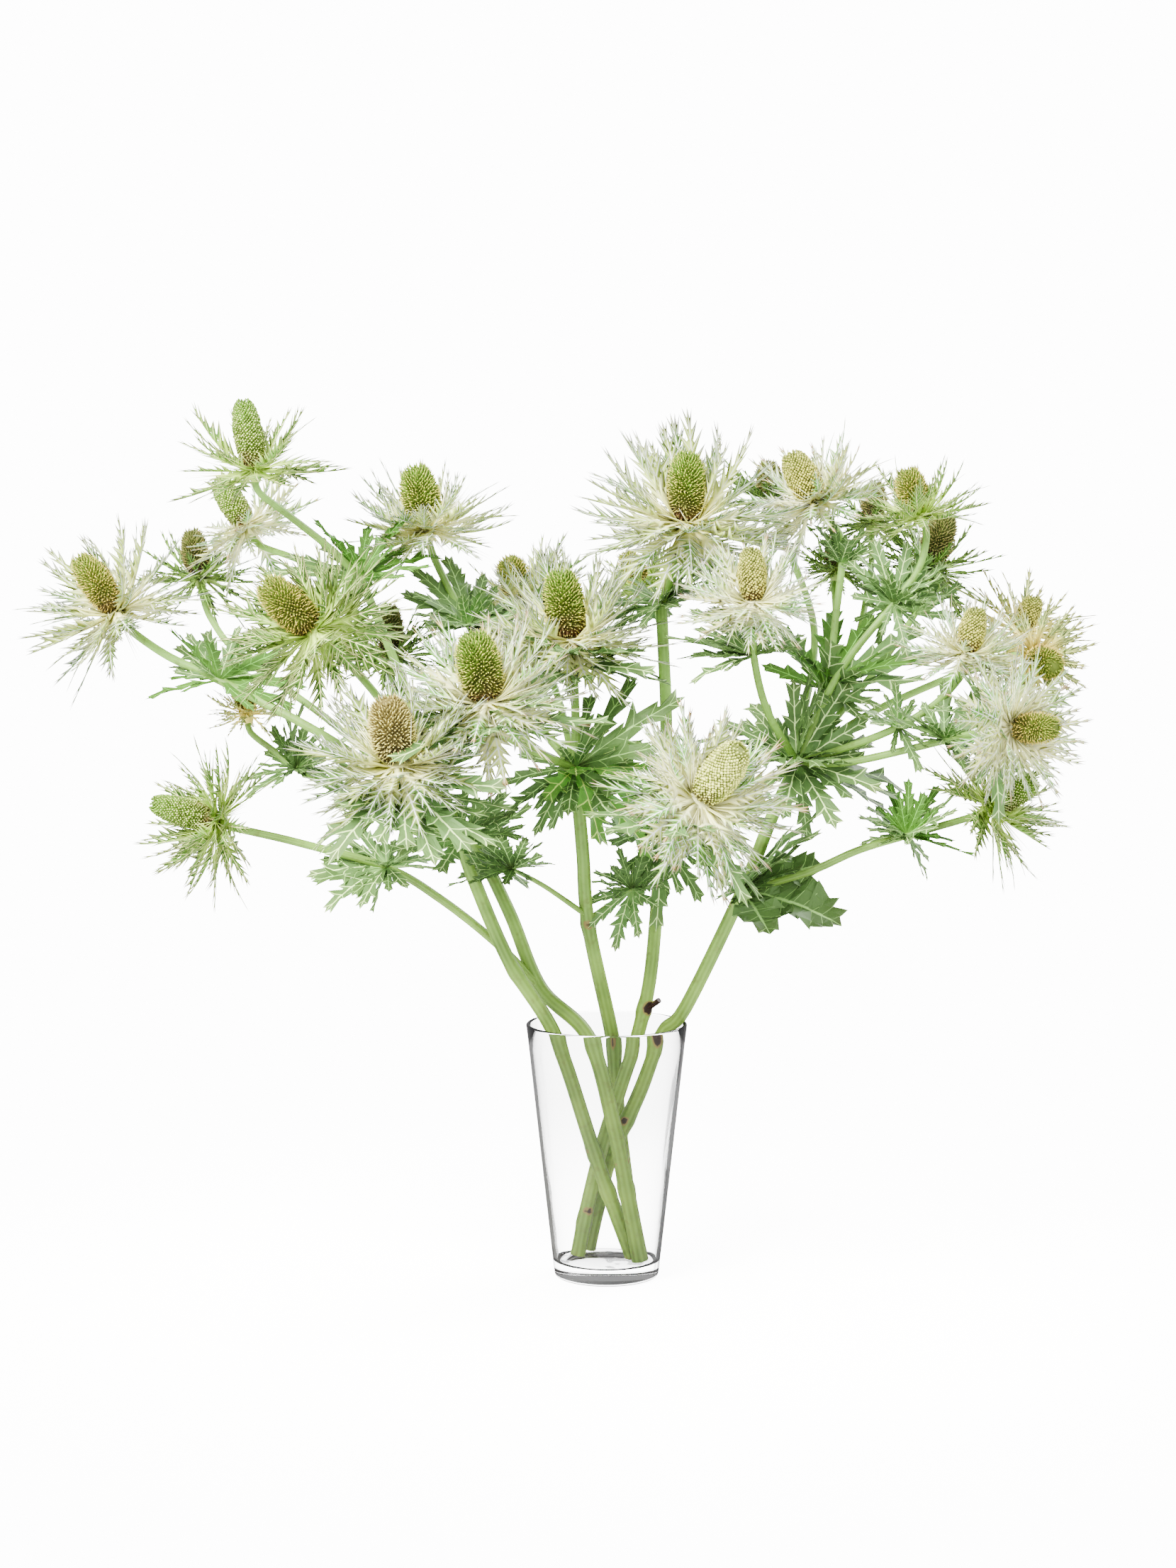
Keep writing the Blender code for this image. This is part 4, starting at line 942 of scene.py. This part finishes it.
def grow_ruff(number, name):
    radius, _, reach, _, look = HEADS[name][2:]
    rim = radius * COLLAR_SHARE + COLLAR_MARGIN
    count, steep, wide = OWN_RUFFS.get(name, RUFFS[look])
    place = head_frame(name, OPEN_LEAN if name in OPEN_RUFFS else (0, 0, 0))
    front = place.to_3x3().inverted() @ Vector((0, -1, 0))
    mesh = grown(name, collar_mesh(rim), ring, {
        "Bracts": BRACTS[BRACT_SET.get(look, "spiny")],
        "Count": count,
        "Ring": rim * 0.8 * MM,
        "Drop": RUFF_DROP * MM,
        "Steep": math.radians(steep),
        "Wide": math.radians(wide),
        "Reach": (reach - rim * 0.8) * MM,
        "Front": math.atan2(front.y, front.x),
        "Opening": math.radians(OPENING),
        "Seed": number * 10 + 5,
        "Finish": RUFF_FINISHES[look],
    }, place)
    return piece_of(name.replace("head", "bracts"), mesh)


for number, name in enumerate(HEADS):
    ruff = grow_ruff(number, name)
    nodes = () if name in ONE_PIECE_HEADS else (name.replace("head", "ruff"),)
    hand_over(ruff, SLOT_OF_RUFF.get(HEADS[name][6], "ruff_silver"), *nodes)
for group in BRACTS.values():
    for piece in list(group.objects):
        bpy.data.objects.remove(piece)
    bpy.data.collections.remove(group)

# %% [markdown]
# ## Stems
# A stem is a fluted tube along a smooth route. We work out the route and its thickness in Python, with the
# knuckles where leaves and branches left it, and hand it over as a curve. A bevel on the curve would give a
# round tube, so a tree sweeps a fluted ring along it instead, and stores the ribs for the finish.

# %% Routes
NECK = 9.0  # straight length of stem under a collar
KNUCKLES = {
    "stem_1": ((48, 1.16), (70, 1.22), (170, 1.15)),
    "stem_2": ((50, 1.16), (129, 1.2)),
    "stem_3": ((120, 1.2), (193, 1.2)),
    "stem_4": ((30, 1.16), (145, 1.24)),
    "stem_5": ((84, 1.16), (126, 1.2)),
}
SPUR = ("stem_4", (1.7, 1.7, ((23, 15, 146), (29, 10, 151))))  # the stub of a branch that was broken off
KNUCKLE_HALF = 3.2
BRANCH_SHARE = 0.86  # branches are a little thinner than the solids that stand for them


def route_points(route):
    """The route, with the name of a head at its end replaced by a straight neck under that head's collar."""
    if isinstance(route[-1], str):
        frame_of_head = head_frame(route[-1])
        top = -COLLAR_BELOW - GAP
        neck = [frame_of_head @ Vector((0, 0, height * MM)) / MM for height in (top - NECK, top)]
        route = (*route[:-1], *neck)
    return [Vector(point) for point in route]


def smooth_route(through, step=4.0):
    """Points of a Catmull-Rom curve through the given ones, about a step apart."""
    ends = [2 * through[0] - through[1], *through, 2 * through[-1] - through[-2]]
    route = []
    for a, b, c, d in zip(ends, ends[1:], ends[2:], ends[3:]):
        steps = math.ceil((c - b).length / step)
        for part in range(steps):
            t = part / steps
            bend = (2 * a - 5 * b + 4 * c - d) * t**2 + (3 * b - a - 3 * c + d) * t**3
            route.append(0.5 * (2 * b + (c - a) * t + bend))
    return [*route, through[-1]]


def stem_curve(stem):
    """All routes of one stem as splines of one curve, thicker at the knuckles and at each joint."""
    curve = bpy.data.curves.new(stem, "CURVE")
    curve.dimensions = "3D"
    routes = list(STEMS[stem]) + ([SPUR[1]] if SPUR[0] == stem else [])
    for order, (start_radius, end_radius, route) in enumerate(routes):
        points = smooth_route(route_points(route))
        spline = curve.splines.new("POLY")
        spline.points.add(len(points) - 1)
        for index, (knot, point) in enumerate(zip(spline.points, points)):
            share = index / (len(points) - 1)
            radius = start_radius + (end_radius - start_radius) * share
            if order > 0:
                radius *= BRANCH_SHARE
            else:
                for height, swelling in KNUCKLES[stem]:
                    radius *= 1 + (swelling - 1) * math.exp(-(((point.z - height) / KNUCKLE_HALF) ** 2))
            knot.co = (*(point * MM), 1)
            knot.radius = radius * MM
    return curve


# %% The sweep tree
sweep, given = new_tree("Ribbed stem", Step="Float", Ribs="Int", Depth="Float", Finish="Material")
around = add(
    sweep, "GeometryNodeCurvePrimitiveCircle", {"mode": "RADIUS"}, Radius=1.0,
    Resolution=maths(sweep, "MULTIPLY", given["Ribs"], 2.0),
)
corner = maths(sweep, "MODULO", add(sweep, "GeometryNodeInputIndex"), 2.0)
around = stored(sweep, around.outputs["Curve"], "rib", corner)
fluting = maths(sweep, "MULTIPLY_ADD", corner, given["Depth"], 1.0)
fluted = add(
    sweep, "ShaderNodeVectorMath", {"operation": "SCALE"}, Vector=add(sweep, "GeometryNodeInputPosition"),
    Scale=fluting,
)
around = add(sweep, "GeometryNodeSetPosition", Geometry=around, Position=fluted)
line = add(
    sweep, "GeometryNodeResampleCurve", {"mode": "LENGTH"}, Curve=given["Geometry"], Length=given["Step"],
)
tube = add(
    sweep, "GeometryNodeCurveToMesh", Curve=line, Profile_Curve=around, Fill_Caps=True,
    Scale=add(sweep, "GeometryNodeInputRadius"),
)
close_tree(sweep, tube, given["Finish"])
print(len(sweep.nodes), "nodes in the sweep")

# %% The stem's finish
def stem_finish():
    """Fresh green in the glass, there also painted lighter to stand in for the light that the glass holds
    back, and paler with bloom above, with light ribs and brown scars.
    """
    material, tree, shader = new_finish("stem")
    drift = ramp(tree, mottle(tree, 30.0), (0.3, 0.0), (0.7, 1.0))
    # the low colours are fresh green, painted lighter to stand in for the light that the glass keeps from the
    # stems
    low = mixed(tree, drift, seen(172, 192, 90), seen(108, 138, 44))
    high = mixed(tree, drift, seen(196, 212, 146), seen(146, 176, 90))
    place = add(tree, "ShaderNodeTexCoord").outputs["Object"]
    height = add(tree, "ShaderNodeSeparateXYZ", Vector=place).outputs["Z"]
    bloom = add(tree, "ShaderNodeMapRange", Value=height, From_Min=0.12, From_Max=0.34)
    colour = mixed(tree, bloom, low, high)
    colour = mixed(tree, maths(tree, "MULTIPLY", mark(tree, "rib"), 0.25), colour, seen(200, 214, 156))
    streaks = ramp(tree, mottle(tree, 260.0), (0.56, 0.0), (0.75, 0.45))
    colour = mixed(tree, streaks, colour, seen(140, 132, 74))
    tan = ramp(tree, mark(tree, "scar"), (0.35, 0.0), (0.5, 0.8))
    colour = mixed(tree, tan, colour, seen(180, 164, 106))
    brown = ramp(tree, mark(tree, "scar"), (0.6, 0.0), (0.72, 1.0))
    colour = mixed(tree, brown, colour, seen(78, 52, 34))
    feed(tree, shader.inputs["Base Color"], colour)
    grain = mottle(tree, 900.0, 2.0)
    feed(tree, shader.inputs["Roughness"], maths(tree, "MULTIPLY_ADD", grain, 0.25, 0.35))
    bumped(tree, shader, grain, 0.06, 0.0002)
    shader.inputs["Specular IOR Level"].default_value = 0.3
    return material


STEM_FINISH = stem_finish()

# %% Scars: dark rings and patches where leaves and branches were cut away
# Each is its middle, its reach and how deep it goes.
SCARS = {
    "stem_1": (
        ((-8, -8, 72), 3.4, 1.0), ((3, -5, 46), 2.6, 0.8), ((14, -2, 10), 3.6, 0.9),
        ((-53, -14, 172), 2.6, 0.7),
    ),
    "stem_2": (((8, -13, 66), 3.6, 1.0), ((-9, -12, 131), 2.8, 0.8), ((18, -10, 10), 3.4, 0.9)),
    "stem_3": (((3, 20, 122), 2.8, 0.9), ((-10, 8, 193), 2.8, 0.7), ((17, 12, 10), 3.0, 0.9)),
    "stem_4": (
        ((24, 12, 146), 3.8, 1.0), ((29, 10, 151), 3.0, 1.0), ((-10, 0, 36), 2.6, 0.8),
        ((-16, 0, 10), 3.0, 0.9),
    ),
    "stem_5": (((10, 10, 84), 2.6, 0.8), ((29, 5, 127), 3.2, 1.0), ((-10, 17, 10), 3.0, 0.9)),
}


def mark_scars(mesh, scars):
    """Stores how deep in a scar each point lies, 0 to 1, with a ragged edge."""
    depth = np.zeros(len(mesh.vertices), np.float32)
    for index, vertex in enumerate(mesh.vertices):
        for middle, reach, strength in scars:
            away = (vertex.co / MM - Vector(middle)).length / reach
            if away < 1.6:
                away += 0.35 * noise(vertex.co / MM * 0.6)
                depth[index] = max(depth[index], strength * min(1.0, max(0.0, 1.6 - away)))
    mesh.attributes.new("scar", "FLOAT", "POINT").data.foreach_set("value", depth)


# %% Grow every stem
for stem in STEMS:
    values = {"Step": 1.8 * MM, "Ribs": 9, "Depth": 0.09, "Finish": STEM_FINISH}
    mesh = grown(stem, stem_curve(stem), sweep, values)
    mark_scars(mesh, SCARS[stem])
    hand_over(piece_of(stem.replace("stem", "stalks"), mesh), "stem_green", stem)

# %% [markdown]
# ## Leaves
# A leaf of sea holly is a hand of toothed lobes, or a fork of three narrow ones higher up. Nodes could place
# leaves too, but each one here has a place of its own, so we draw them in Python: each lobe is a blade, and
# the lobes of one leaf spread from its root. The CAD source gives root, tip and kind of the leaves that shape
# the outline. Between them we fill the whorls, and add small leaves under the largest heads, by a rule with
# a seed, because nobody would miss one of these that stands elsewhere.

# %% Lobes of each kind of leaf: (direction in degrees, length, half width, teeth)
LOBES = {
    "lance": ((0, 1.1, 0.115, 4), (24, 0.7, 0.1, 3), (-24, 0.7, 0.1, 3)),
    "lobed": (
        (0, 1.1, 0.15, 5), (30, 1.0, 0.135, 4), (-30, 1.0, 0.135, 4), (62, 0.75, 0.14, 3),
        (-62, 0.75, 0.14, 3),
    ),
    "round": ((0, 1.0, 0.32, 8), (44, 0.8, 0.3, 6), (-44, 0.8, 0.3, 6)),
}
NOTCH = {"lance": 0.52, "lobed": 0.52, "round": 0.86}  # width in a notch, as a share of the lobe's
TOOTH_LEAN, TOOTH_SHARE, LAST_TOOTH, WIDEST = 0.1, 0.9, 0.94, 0.52
LEAF_THICKNESS = 0.022
FACE_UP, FACE_FRONT, STEEP = Vector((0, -0.45, 1)), Vector((0, -1, 0.2)), 0.9


def leaf_shapes(kind, root, tip, chance):
    """A closed blade for each lobe. The leaf faces up, or to the front where it stands steep."""
    root, tip = Vector(root), Vector(tip)
    length = (tip - root).length
    along_axis = (tip - root) / length
    facing = FACE_UP if abs(along_axis.z) < STEEP else FACE_FRONT
    roll = Matrix.Rotation(chance.uniform(-0.3, 0.3), 3, along_axis)
    across_axis = roll @ facing.cross(along_axis).normalized()
    lift_axis = along_axis.cross(across_axis)
    arch, fold, tone = chance.uniform(0.05, 0.3), chance.uniform(0.1, 0.35), chance.random()
    for order, (turn, size, width, teeth) in enumerate(LOBES[kind]):
        aim = math.radians(turn + chance.uniform(-5, 5))
        size *= chance.uniform(0.9, 1.0)
        wave = chance.uniform(0, math.tau)

        def place(station, across, lift, aim=aim, size=size, wave=wave, order=order):
            x = station * size * math.cos(aim) - across * size * math.sin(aim)
            y = station * size * math.sin(aim) + across * size * math.cos(aim)
            ripple = 0.05 * abs(across) / 0.15 * math.sin(wave + 17 * station)
            rise = arch * x * (1 - x) + fold * abs(y) * 0.6 + fold * abs(across) * 0.5 + ripple * size
            rise += lift * size + 0.004 * order  # lobes lie on each other without touching
            return root + (along_axis * x + across_axis * y + lift_axis * rise) * length

        rows = toothed_rows(
            chance, teeth, lambda station, width=width: swell(station, WIDEST, width), NOTCH[kind],
            TOOTH_LEAN, TOOTH_SHARE, LAST_TOOTH,
        )
        yield (*closed_blade(rows, place, LEAF_THICKNESS, mids=True), tone)


# %% Leaves that fill a whorl, between those that the CAD source placed
MORE_LEAVES = 5
WHORL_LEAVES = {
    (-17, -8, 280): 1, (-79, -18, 242): 2, (102, -20, 284): 9, (73, -14, 214): 1, (-72, 14, 238): 1,
    (-118, -24, 228): 3,
}


def fillers(root, leaves, chance):
    """Smaller leaves round the same root, each in a direction of its own."""
    reaches = [(Vector(tip) - Vector(root)).length for _, tip in leaves]
    for _ in range(WHORL_LEAVES.get(root, MORE_LEAVES)):
        aim = Vector((chance.gauss(0, 1), chance.gauss(0, 0.8), chance.gauss(0.45, 0.55)))
        length = sum(reaches) / len(reaches) * chance.uniform(0.7, 1.2)
        yield chance.choice(("lance", "lobed")), Vector(root) + aim.normalized() * length


# %% Small pale leaves on the necks, just under the large ruffs
NECK_LEAVES = {
    "stem_1": ("head_11",), "stem_3": ("head_09", "head_10"), "stem_5": ("head_12", "head_22"),
}


def neck_leaves(head, chance):
    """Kind, root and tip of the leaves that wind down the neck from the collar."""
    place, reach = head_frame(head), HEADS[head][4]
    for leaf in range(6):
        turn = GOLDEN_TURN * leaf + chance.uniform(-0.3, 0.3)
        root = place @ (Vector((0, 0, -8 - 2.2 * leaf)) * MM) / MM
        out = place.to_3x3() @ Vector((math.cos(turn), math.sin(turn), 0))
        aim = (out + Vector((0, 0, chance.uniform(-0.6, 0.35)))).normalized()
        tip = root + aim * reach * chance.uniform(0.9, 1.12)
        yield chance.choice(("lance", "lobed")), root, tip


# %% Grow the leaves of every stem
BRIGHT_WHORLS = ((-133, 6, 382), (-211, 10, 327), (160, -30, 246), (119, 8, 322))
LIT_WHORL = (-17, -8, 280)  # two pale leaves of it show in the photograph's middle
LIT_LEAVES = {"stem_3": ((46, -34, 276), (24, -42, 238))}


def look_of(root, order):
    """Every second leaf of a bright whorl is bright. The others take turns."""
    if root in BRIGHT_WHORLS and order % 2 == 0:
        return "bright"
    return "mint" if order % 2 else "deep"


for stem in STEMS:
    chance = random.Random(stem)
    shapes = {look: [] for look in LEAF_FINISHES}
    for owner, root, leaves in LEAVES:
        if owner == stem:
            for order, (kind, tip) in enumerate([*leaves, *fillers(root, leaves, chance)]):
                shapes[look_of(root, order)] += leaf_shapes(kind, root, tip, chance)
    for tip in LIT_LEAVES.get(stem, ()):
        shapes["light"] += leaf_shapes("lobed", LIT_WHORL, tip, chance)
    for head in NECK_LEAVES.get(stem, ()):
        for kind, root, tip in neck_leaves(head, chance):
            shapes["mint"] += leaf_shapes(kind, root, tip, chance)
    for look, found in shapes.items():
        if found:
            leaves = piece_of(f"{stem.replace('stem', 'leaves')}_{look}", marked_mesh(stem, found))
            leaves.data.materials.append(LEAF_FINISHES[look])
            hand_over(leaves, "stem_green")

# %% [markdown]
# ## The tumbler
# A pressed glass with a thick bottom and a straight cone for a wall. A Screw modifier could turn its profile,
# but we want the inner wall to waver a little as pressed glass does, because that gives glass its dark
# streaks. So we turn the profile in code, up the inner wall, over the round rim and down the outer wall,
# which makes one closed body, and then move the points of the inner wall by slow noise. The finish adds a
# darker edge and more dark streaks on top, as painted shade.

# %% Profile and turning
GLASS_HEIGHT, GLASS_FOOT, GLASS_RIM, GLASS_WALL, GLASS_CORNER = 140.0, 28.5, 44.0, 1.9, 2.4
GLASS_STEPS, WALL_STEPS = 144, 30
WAVER = 0.32  # the most that the inner wall strays


def corner_arc(centre, radius, start, end, steps):
    """(distance, height, waver) along an arc from one angle in degrees to another."""
    for step in range(steps + 1):
        turn = math.radians(start + (end - start) * step / steps)
        yield centre[0] + radius * math.cos(turn), centre[1] + radius * math.sin(turn), 0.0


def glass_profile():
    """(distance from the axis, height, waver) from the floor's middle over the rim to the foot's middle."""
    lean = (GLASS_RIM - GLASS_FOOT) / GLASS_HEIGHT
    inner_foot = GLASS_FOOT + lean * GLASS_FLOOR - GLASS_WALL
    rim_round = GLASS_WALL / 2
    rim = GLASS_HEIGHT - rim_round
    inner_start = GLASS_FLOOR + GLASS_CORNER
    profile = [
        (0.0, GLASS_FLOOR + 0.9, 0.0), (inner_foot * 0.5, GLASS_FLOOR + 0.6, 0.0),
        (inner_foot * 0.85, GLASS_FLOOR + 0.1, 0.0),
    ]
    profile += corner_arc((inner_foot - GLASS_CORNER, inner_start), GLASS_CORNER, -70, 0, 6)
    for step in range(1, WALL_STEPS):
        height = inner_start + (rim - inner_start) * step / WALL_STEPS
        waver = math.sin(math.pi * step / WALL_STEPS)
        profile.append((GLASS_FOOT + lean * height - GLASS_WALL, height, waver))
    profile += corner_arc((GLASS_RIM - rim_round, rim), rim_round, 180, 0, 8)
    for step in range(1, 12):
        height = rim - (rim - 3) * step / 12
        profile.append((GLASS_FOOT + lean * height, height, 0.0))
    profile += corner_arc((GLASS_FOOT - 2.2, GLASS_CORNER), GLASS_CORNER, 0, -90, 6)
    hollow = ((GLASS_FOOT - 6, 0.0), (GLASS_FOOT - 9, 0.7), (GLASS_FOOT * 0.4, 1.4), (0.0, 1.6))
    return profile + [(distance, height, 0.0) for distance, height in hollow]


def turned_glass():
    """The closed tumbler, with its inner wall moved in and out by slow noise."""
    profile = glass_profile()
    points, faces = turned([row[:2] for row in profile], GLASS_STEPS)
    for index in range(1, len(points) - 1):
        x, y, height = points[index]
        distance, waver = math.hypot(x, y), profile[1 + (index - 1) // GLASS_STEPS][2]
        place = Vector((x / distance * 1.5, y / distance * 1.5, height * 0.018))
        stretch = 1 + waver * WAVER * noise(place) / distance
        points[index] = (x * stretch, y * stretch, height)
    mesh = bpy.data.meshes.new("tumbler")
    mesh.from_pydata([Vector(point) * MM for point in points], [], faces)
    face_outwards(mesh)
    mesh.shade_smooth()
    return mesh


# %% Clear glass with painted shade: darker where it is seen edge on, with painted dark streaks drawn out along the wall
def glass_finish():
    material, tree, shader = new_finish("glass")
    facing = add(tree, "ShaderNodeLayerWeight", Blend=0.25).outputs["Facing"]
    # painted shade: the glass is coloured darker where it is seen edge on, in place of the dark that it
    # refracts there
    painted_edge_shade = ramp(tree, facing, (0.0, 1.0), (0.6, 0.97), (0.8, 0.5), (0.92, 0.06))
    place = add(tree, "ShaderNodeTexCoord").outputs["Object"]
    drawn = add(tree, "ShaderNodeVectorMath", {"operation": "MULTIPLY"})
    tree.links.new(place, drawn.inputs[0])
    drawn.inputs[1].default_value = (1.0, 1.0, 0.16)
    # painted shade: dark streaks drawn out along the wall, in a band of the wall seen at a slant
    wave = add(tree, "ShaderNodeTexNoise", Vector=drawn, Scale=90.0, Detail=2.0).outputs["Fac"]
    side = ramp(tree, facing, (0.3, 0.0), (0.42, 1.0), (0.66, 1.0), (0.78, 0.0))
    painted_streak = maths(tree, "MULTIPLY", ramp(tree, wave, (0.54, 0.0), (0.58, 1.0)), side)
    painted_streak_colour = mixed(tree, maths(tree, "MULTIPLY", painted_streak, 0.9), painted_edge_shade, seen(50, 54, 56))
    feed(tree, shader.inputs["Base Color"], painted_streak_colour)
    smear = ramp(tree, mottle(tree, 40.0), (0.5, 0.0), (0.8, 1.0))
    feed(tree, shader.inputs["Roughness"], maths(tree, "MULTIPLY", smear, 0.02))
    shader.inputs["IOR"].default_value = 1.5
    shader.inputs["Transmission Weight"].default_value = 1.0
    return material


tumbler = piece_of("tumbler", turned_glass())
tumbler.data.materials.append(glass_finish())
hand_over(tumbler, "glass", "vase")

# %% [markdown]
# ## Studio
# The object stands on a lit white table in front of white, with soft light all round, as in the photograph,
# whose ground is overexposed. A surface that bright would light the flowers until they were white too. So the
# table and the surroundings are brighter to the camera than the light that they throw. The floor fades away
# into the white at its edge, so that no horizon cuts through the flowers.

# %% Floor
FLOOR_RADIUS, FADE_FROM, FADE_TO = 1.2, 0.12, 0.5
TABLE_GLOW = 10.0  # seen by the camera only
MIRRORED = 0.1  # share of the white surroundings that shiny surfaces reflect


def in_view(tree, start):
    """1 for what the camera sees directly or through clear glass, and 0 for light on its way by reflection.

    start is the depth that a ray from the camera begins at: 0 on a surface, and 1 on the world.
    """
    path = add(tree, "ShaderNodeLightPath").outputs
    bounces = maths(tree, "SUBTRACT", path["Ray Depth"], path["Transmission Depth"])
    return maths(tree, "LESS_THAN", bounces, start + 0.5)


def kept_light(tree):
    """1, but only MIRRORED for light that a shiny surface reflects, so that no haze lies on the glass."""
    path = add(tree, "ShaderNodeLightPath").outputs
    glossy = maths(tree, "GREATER_THAN", path["Glossy Depth"], 0.5)
    return maths(tree, "MULTIPLY_ADD", glossy, MIRRORED - 1, 1.0)


def floor_finish():
    material, tree, shader = new_finish("floor")
    shader.inputs["Roughness"].default_value = 0.6
    kept = kept_light(tree)
    grey = add(tree, "ShaderNodeCombineColor", Red=kept, Green=kept, Blue=kept)
    white = ramp(tree, mottle(tree, 12.0), (0.3, 0.88), (0.7, 0.92))
    feed(tree, shader.inputs["Base Color"], mixed(tree, 1.0, white, grey, "MULTIPLY"))
    shader.inputs["Emission Color"].default_value = (1.0, 1.0, 1.0, 1.0)
    feed(tree, shader.inputs["Emission Strength"], maths(tree, "MULTIPLY", in_view(tree, 0), TABLE_GLOW))
    place = add(tree, "ShaderNodeTexCoord").outputs["Object"]
    away = add(tree, "ShaderNodeVectorMath", {"operation": "LENGTH"}, Vector=place)
    away = socket_of(away.outputs, "Value")
    smooth = {"interpolation_type": "SMOOTHSTEP"}
    fade = add(tree, "ShaderNodeMapRange", smooth, Value=away, From_Min=FADE_FROM, From_Max=FADE_TO)
    clear = add(tree, "ShaderNodeBsdfTransparent")
    blend = add(tree, "ShaderNodeMixShader", Fac=fade)
    tree.links.new(shader.outputs[0], blend.inputs[1])
    tree.links.new(clear.outputs[0], blend.inputs[2])
    tree.links.new(blend.outputs[0], tree.nodes["Material Output"].inputs["Surface"])
    return material


shape = bmesh.new()
bmesh.ops.create_circle(shape, cap_ends=True, segments=96, radius=FLOOR_RADIUS)
mesh = bpy.data.meshes.new("floor")
shape.to_mesh(mesh)
shape.free()
floor = piece_of("floor", mesh)
floor.data.materials.append(floor_finish())

# %% White surroundings
SEEN_WHITE, LIGHT_WHITE = 14.0, 3.8  # to the camera, and as light on the flowers

world = bpy.data.worlds.new("studio")
bpy.context.scene.world = world
world.use_nodes = True
tree = world.node_tree
background = tree.nodes["Background"]
thrown = maths(tree, "MULTIPLY", kept_light(tree), LIGHT_WHITE)
level = add(tree, "ShaderNodeMix", Factor=in_view(tree, 1), A=thrown, B=SEEN_WHITE)
feed(tree, background.inputs["Strength"], level)
background.inputs["Color"].default_value = (1.0, 1.0, 1.0, 1.0)

# %% Soft lights: a large warm one from the upper left front, and one from behind on the right
def soft_light(name, place, size, power, colour):
    light = bpy.data.lights.new(name, "AREA")
    light.size = size
    light.energy = power
    light.color = colour
    lamp = bpy.data.objects.new(name, light)
    lamp.location = place
    lamp.rotation_euler = (Vector((0, 0, 0.3)) - Vector(place)).to_track_quat("-Z", "Y").to_euler()
    bpy.context.scene.collection.objects.link(lamp)


soft_light("key", (-0.9, -1.1, 1.5), 0.8, 180, (1.0, 0.97, 0.87))
soft_light("rim", (1.0, 0.9, 1.2), 0.8, 60, (1.0, 1.0, 1.0))

# %% Camera: 1.6 m away, a little above the flowers' middle, pitched down
CAMERA_PLACE = (-0.0102, -1.6, 0.402)
CAMERA_PITCH = math.atan(0.0818)
FOCAL_PIXELS, PHOTO_HEIGHT = 4168, 2212

camera = bpy.data.cameras.new("camera")
camera.sensor_fit = "VERTICAL"
camera.sensor_height = 36.0
camera.lens = FOCAL_PIXELS / PHOTO_HEIGHT * camera.sensor_height
eye = bpy.data.objects.new("camera", camera)
eye.location = CAMERA_PLACE
eye.rotation_euler = (math.pi / 2 - CAMERA_PITCH, 0, 0)
bpy.context.scene.collection.objects.link(eye)
bpy.context.scene.camera = eye
print("lens", round(camera.lens, 1), "mm")
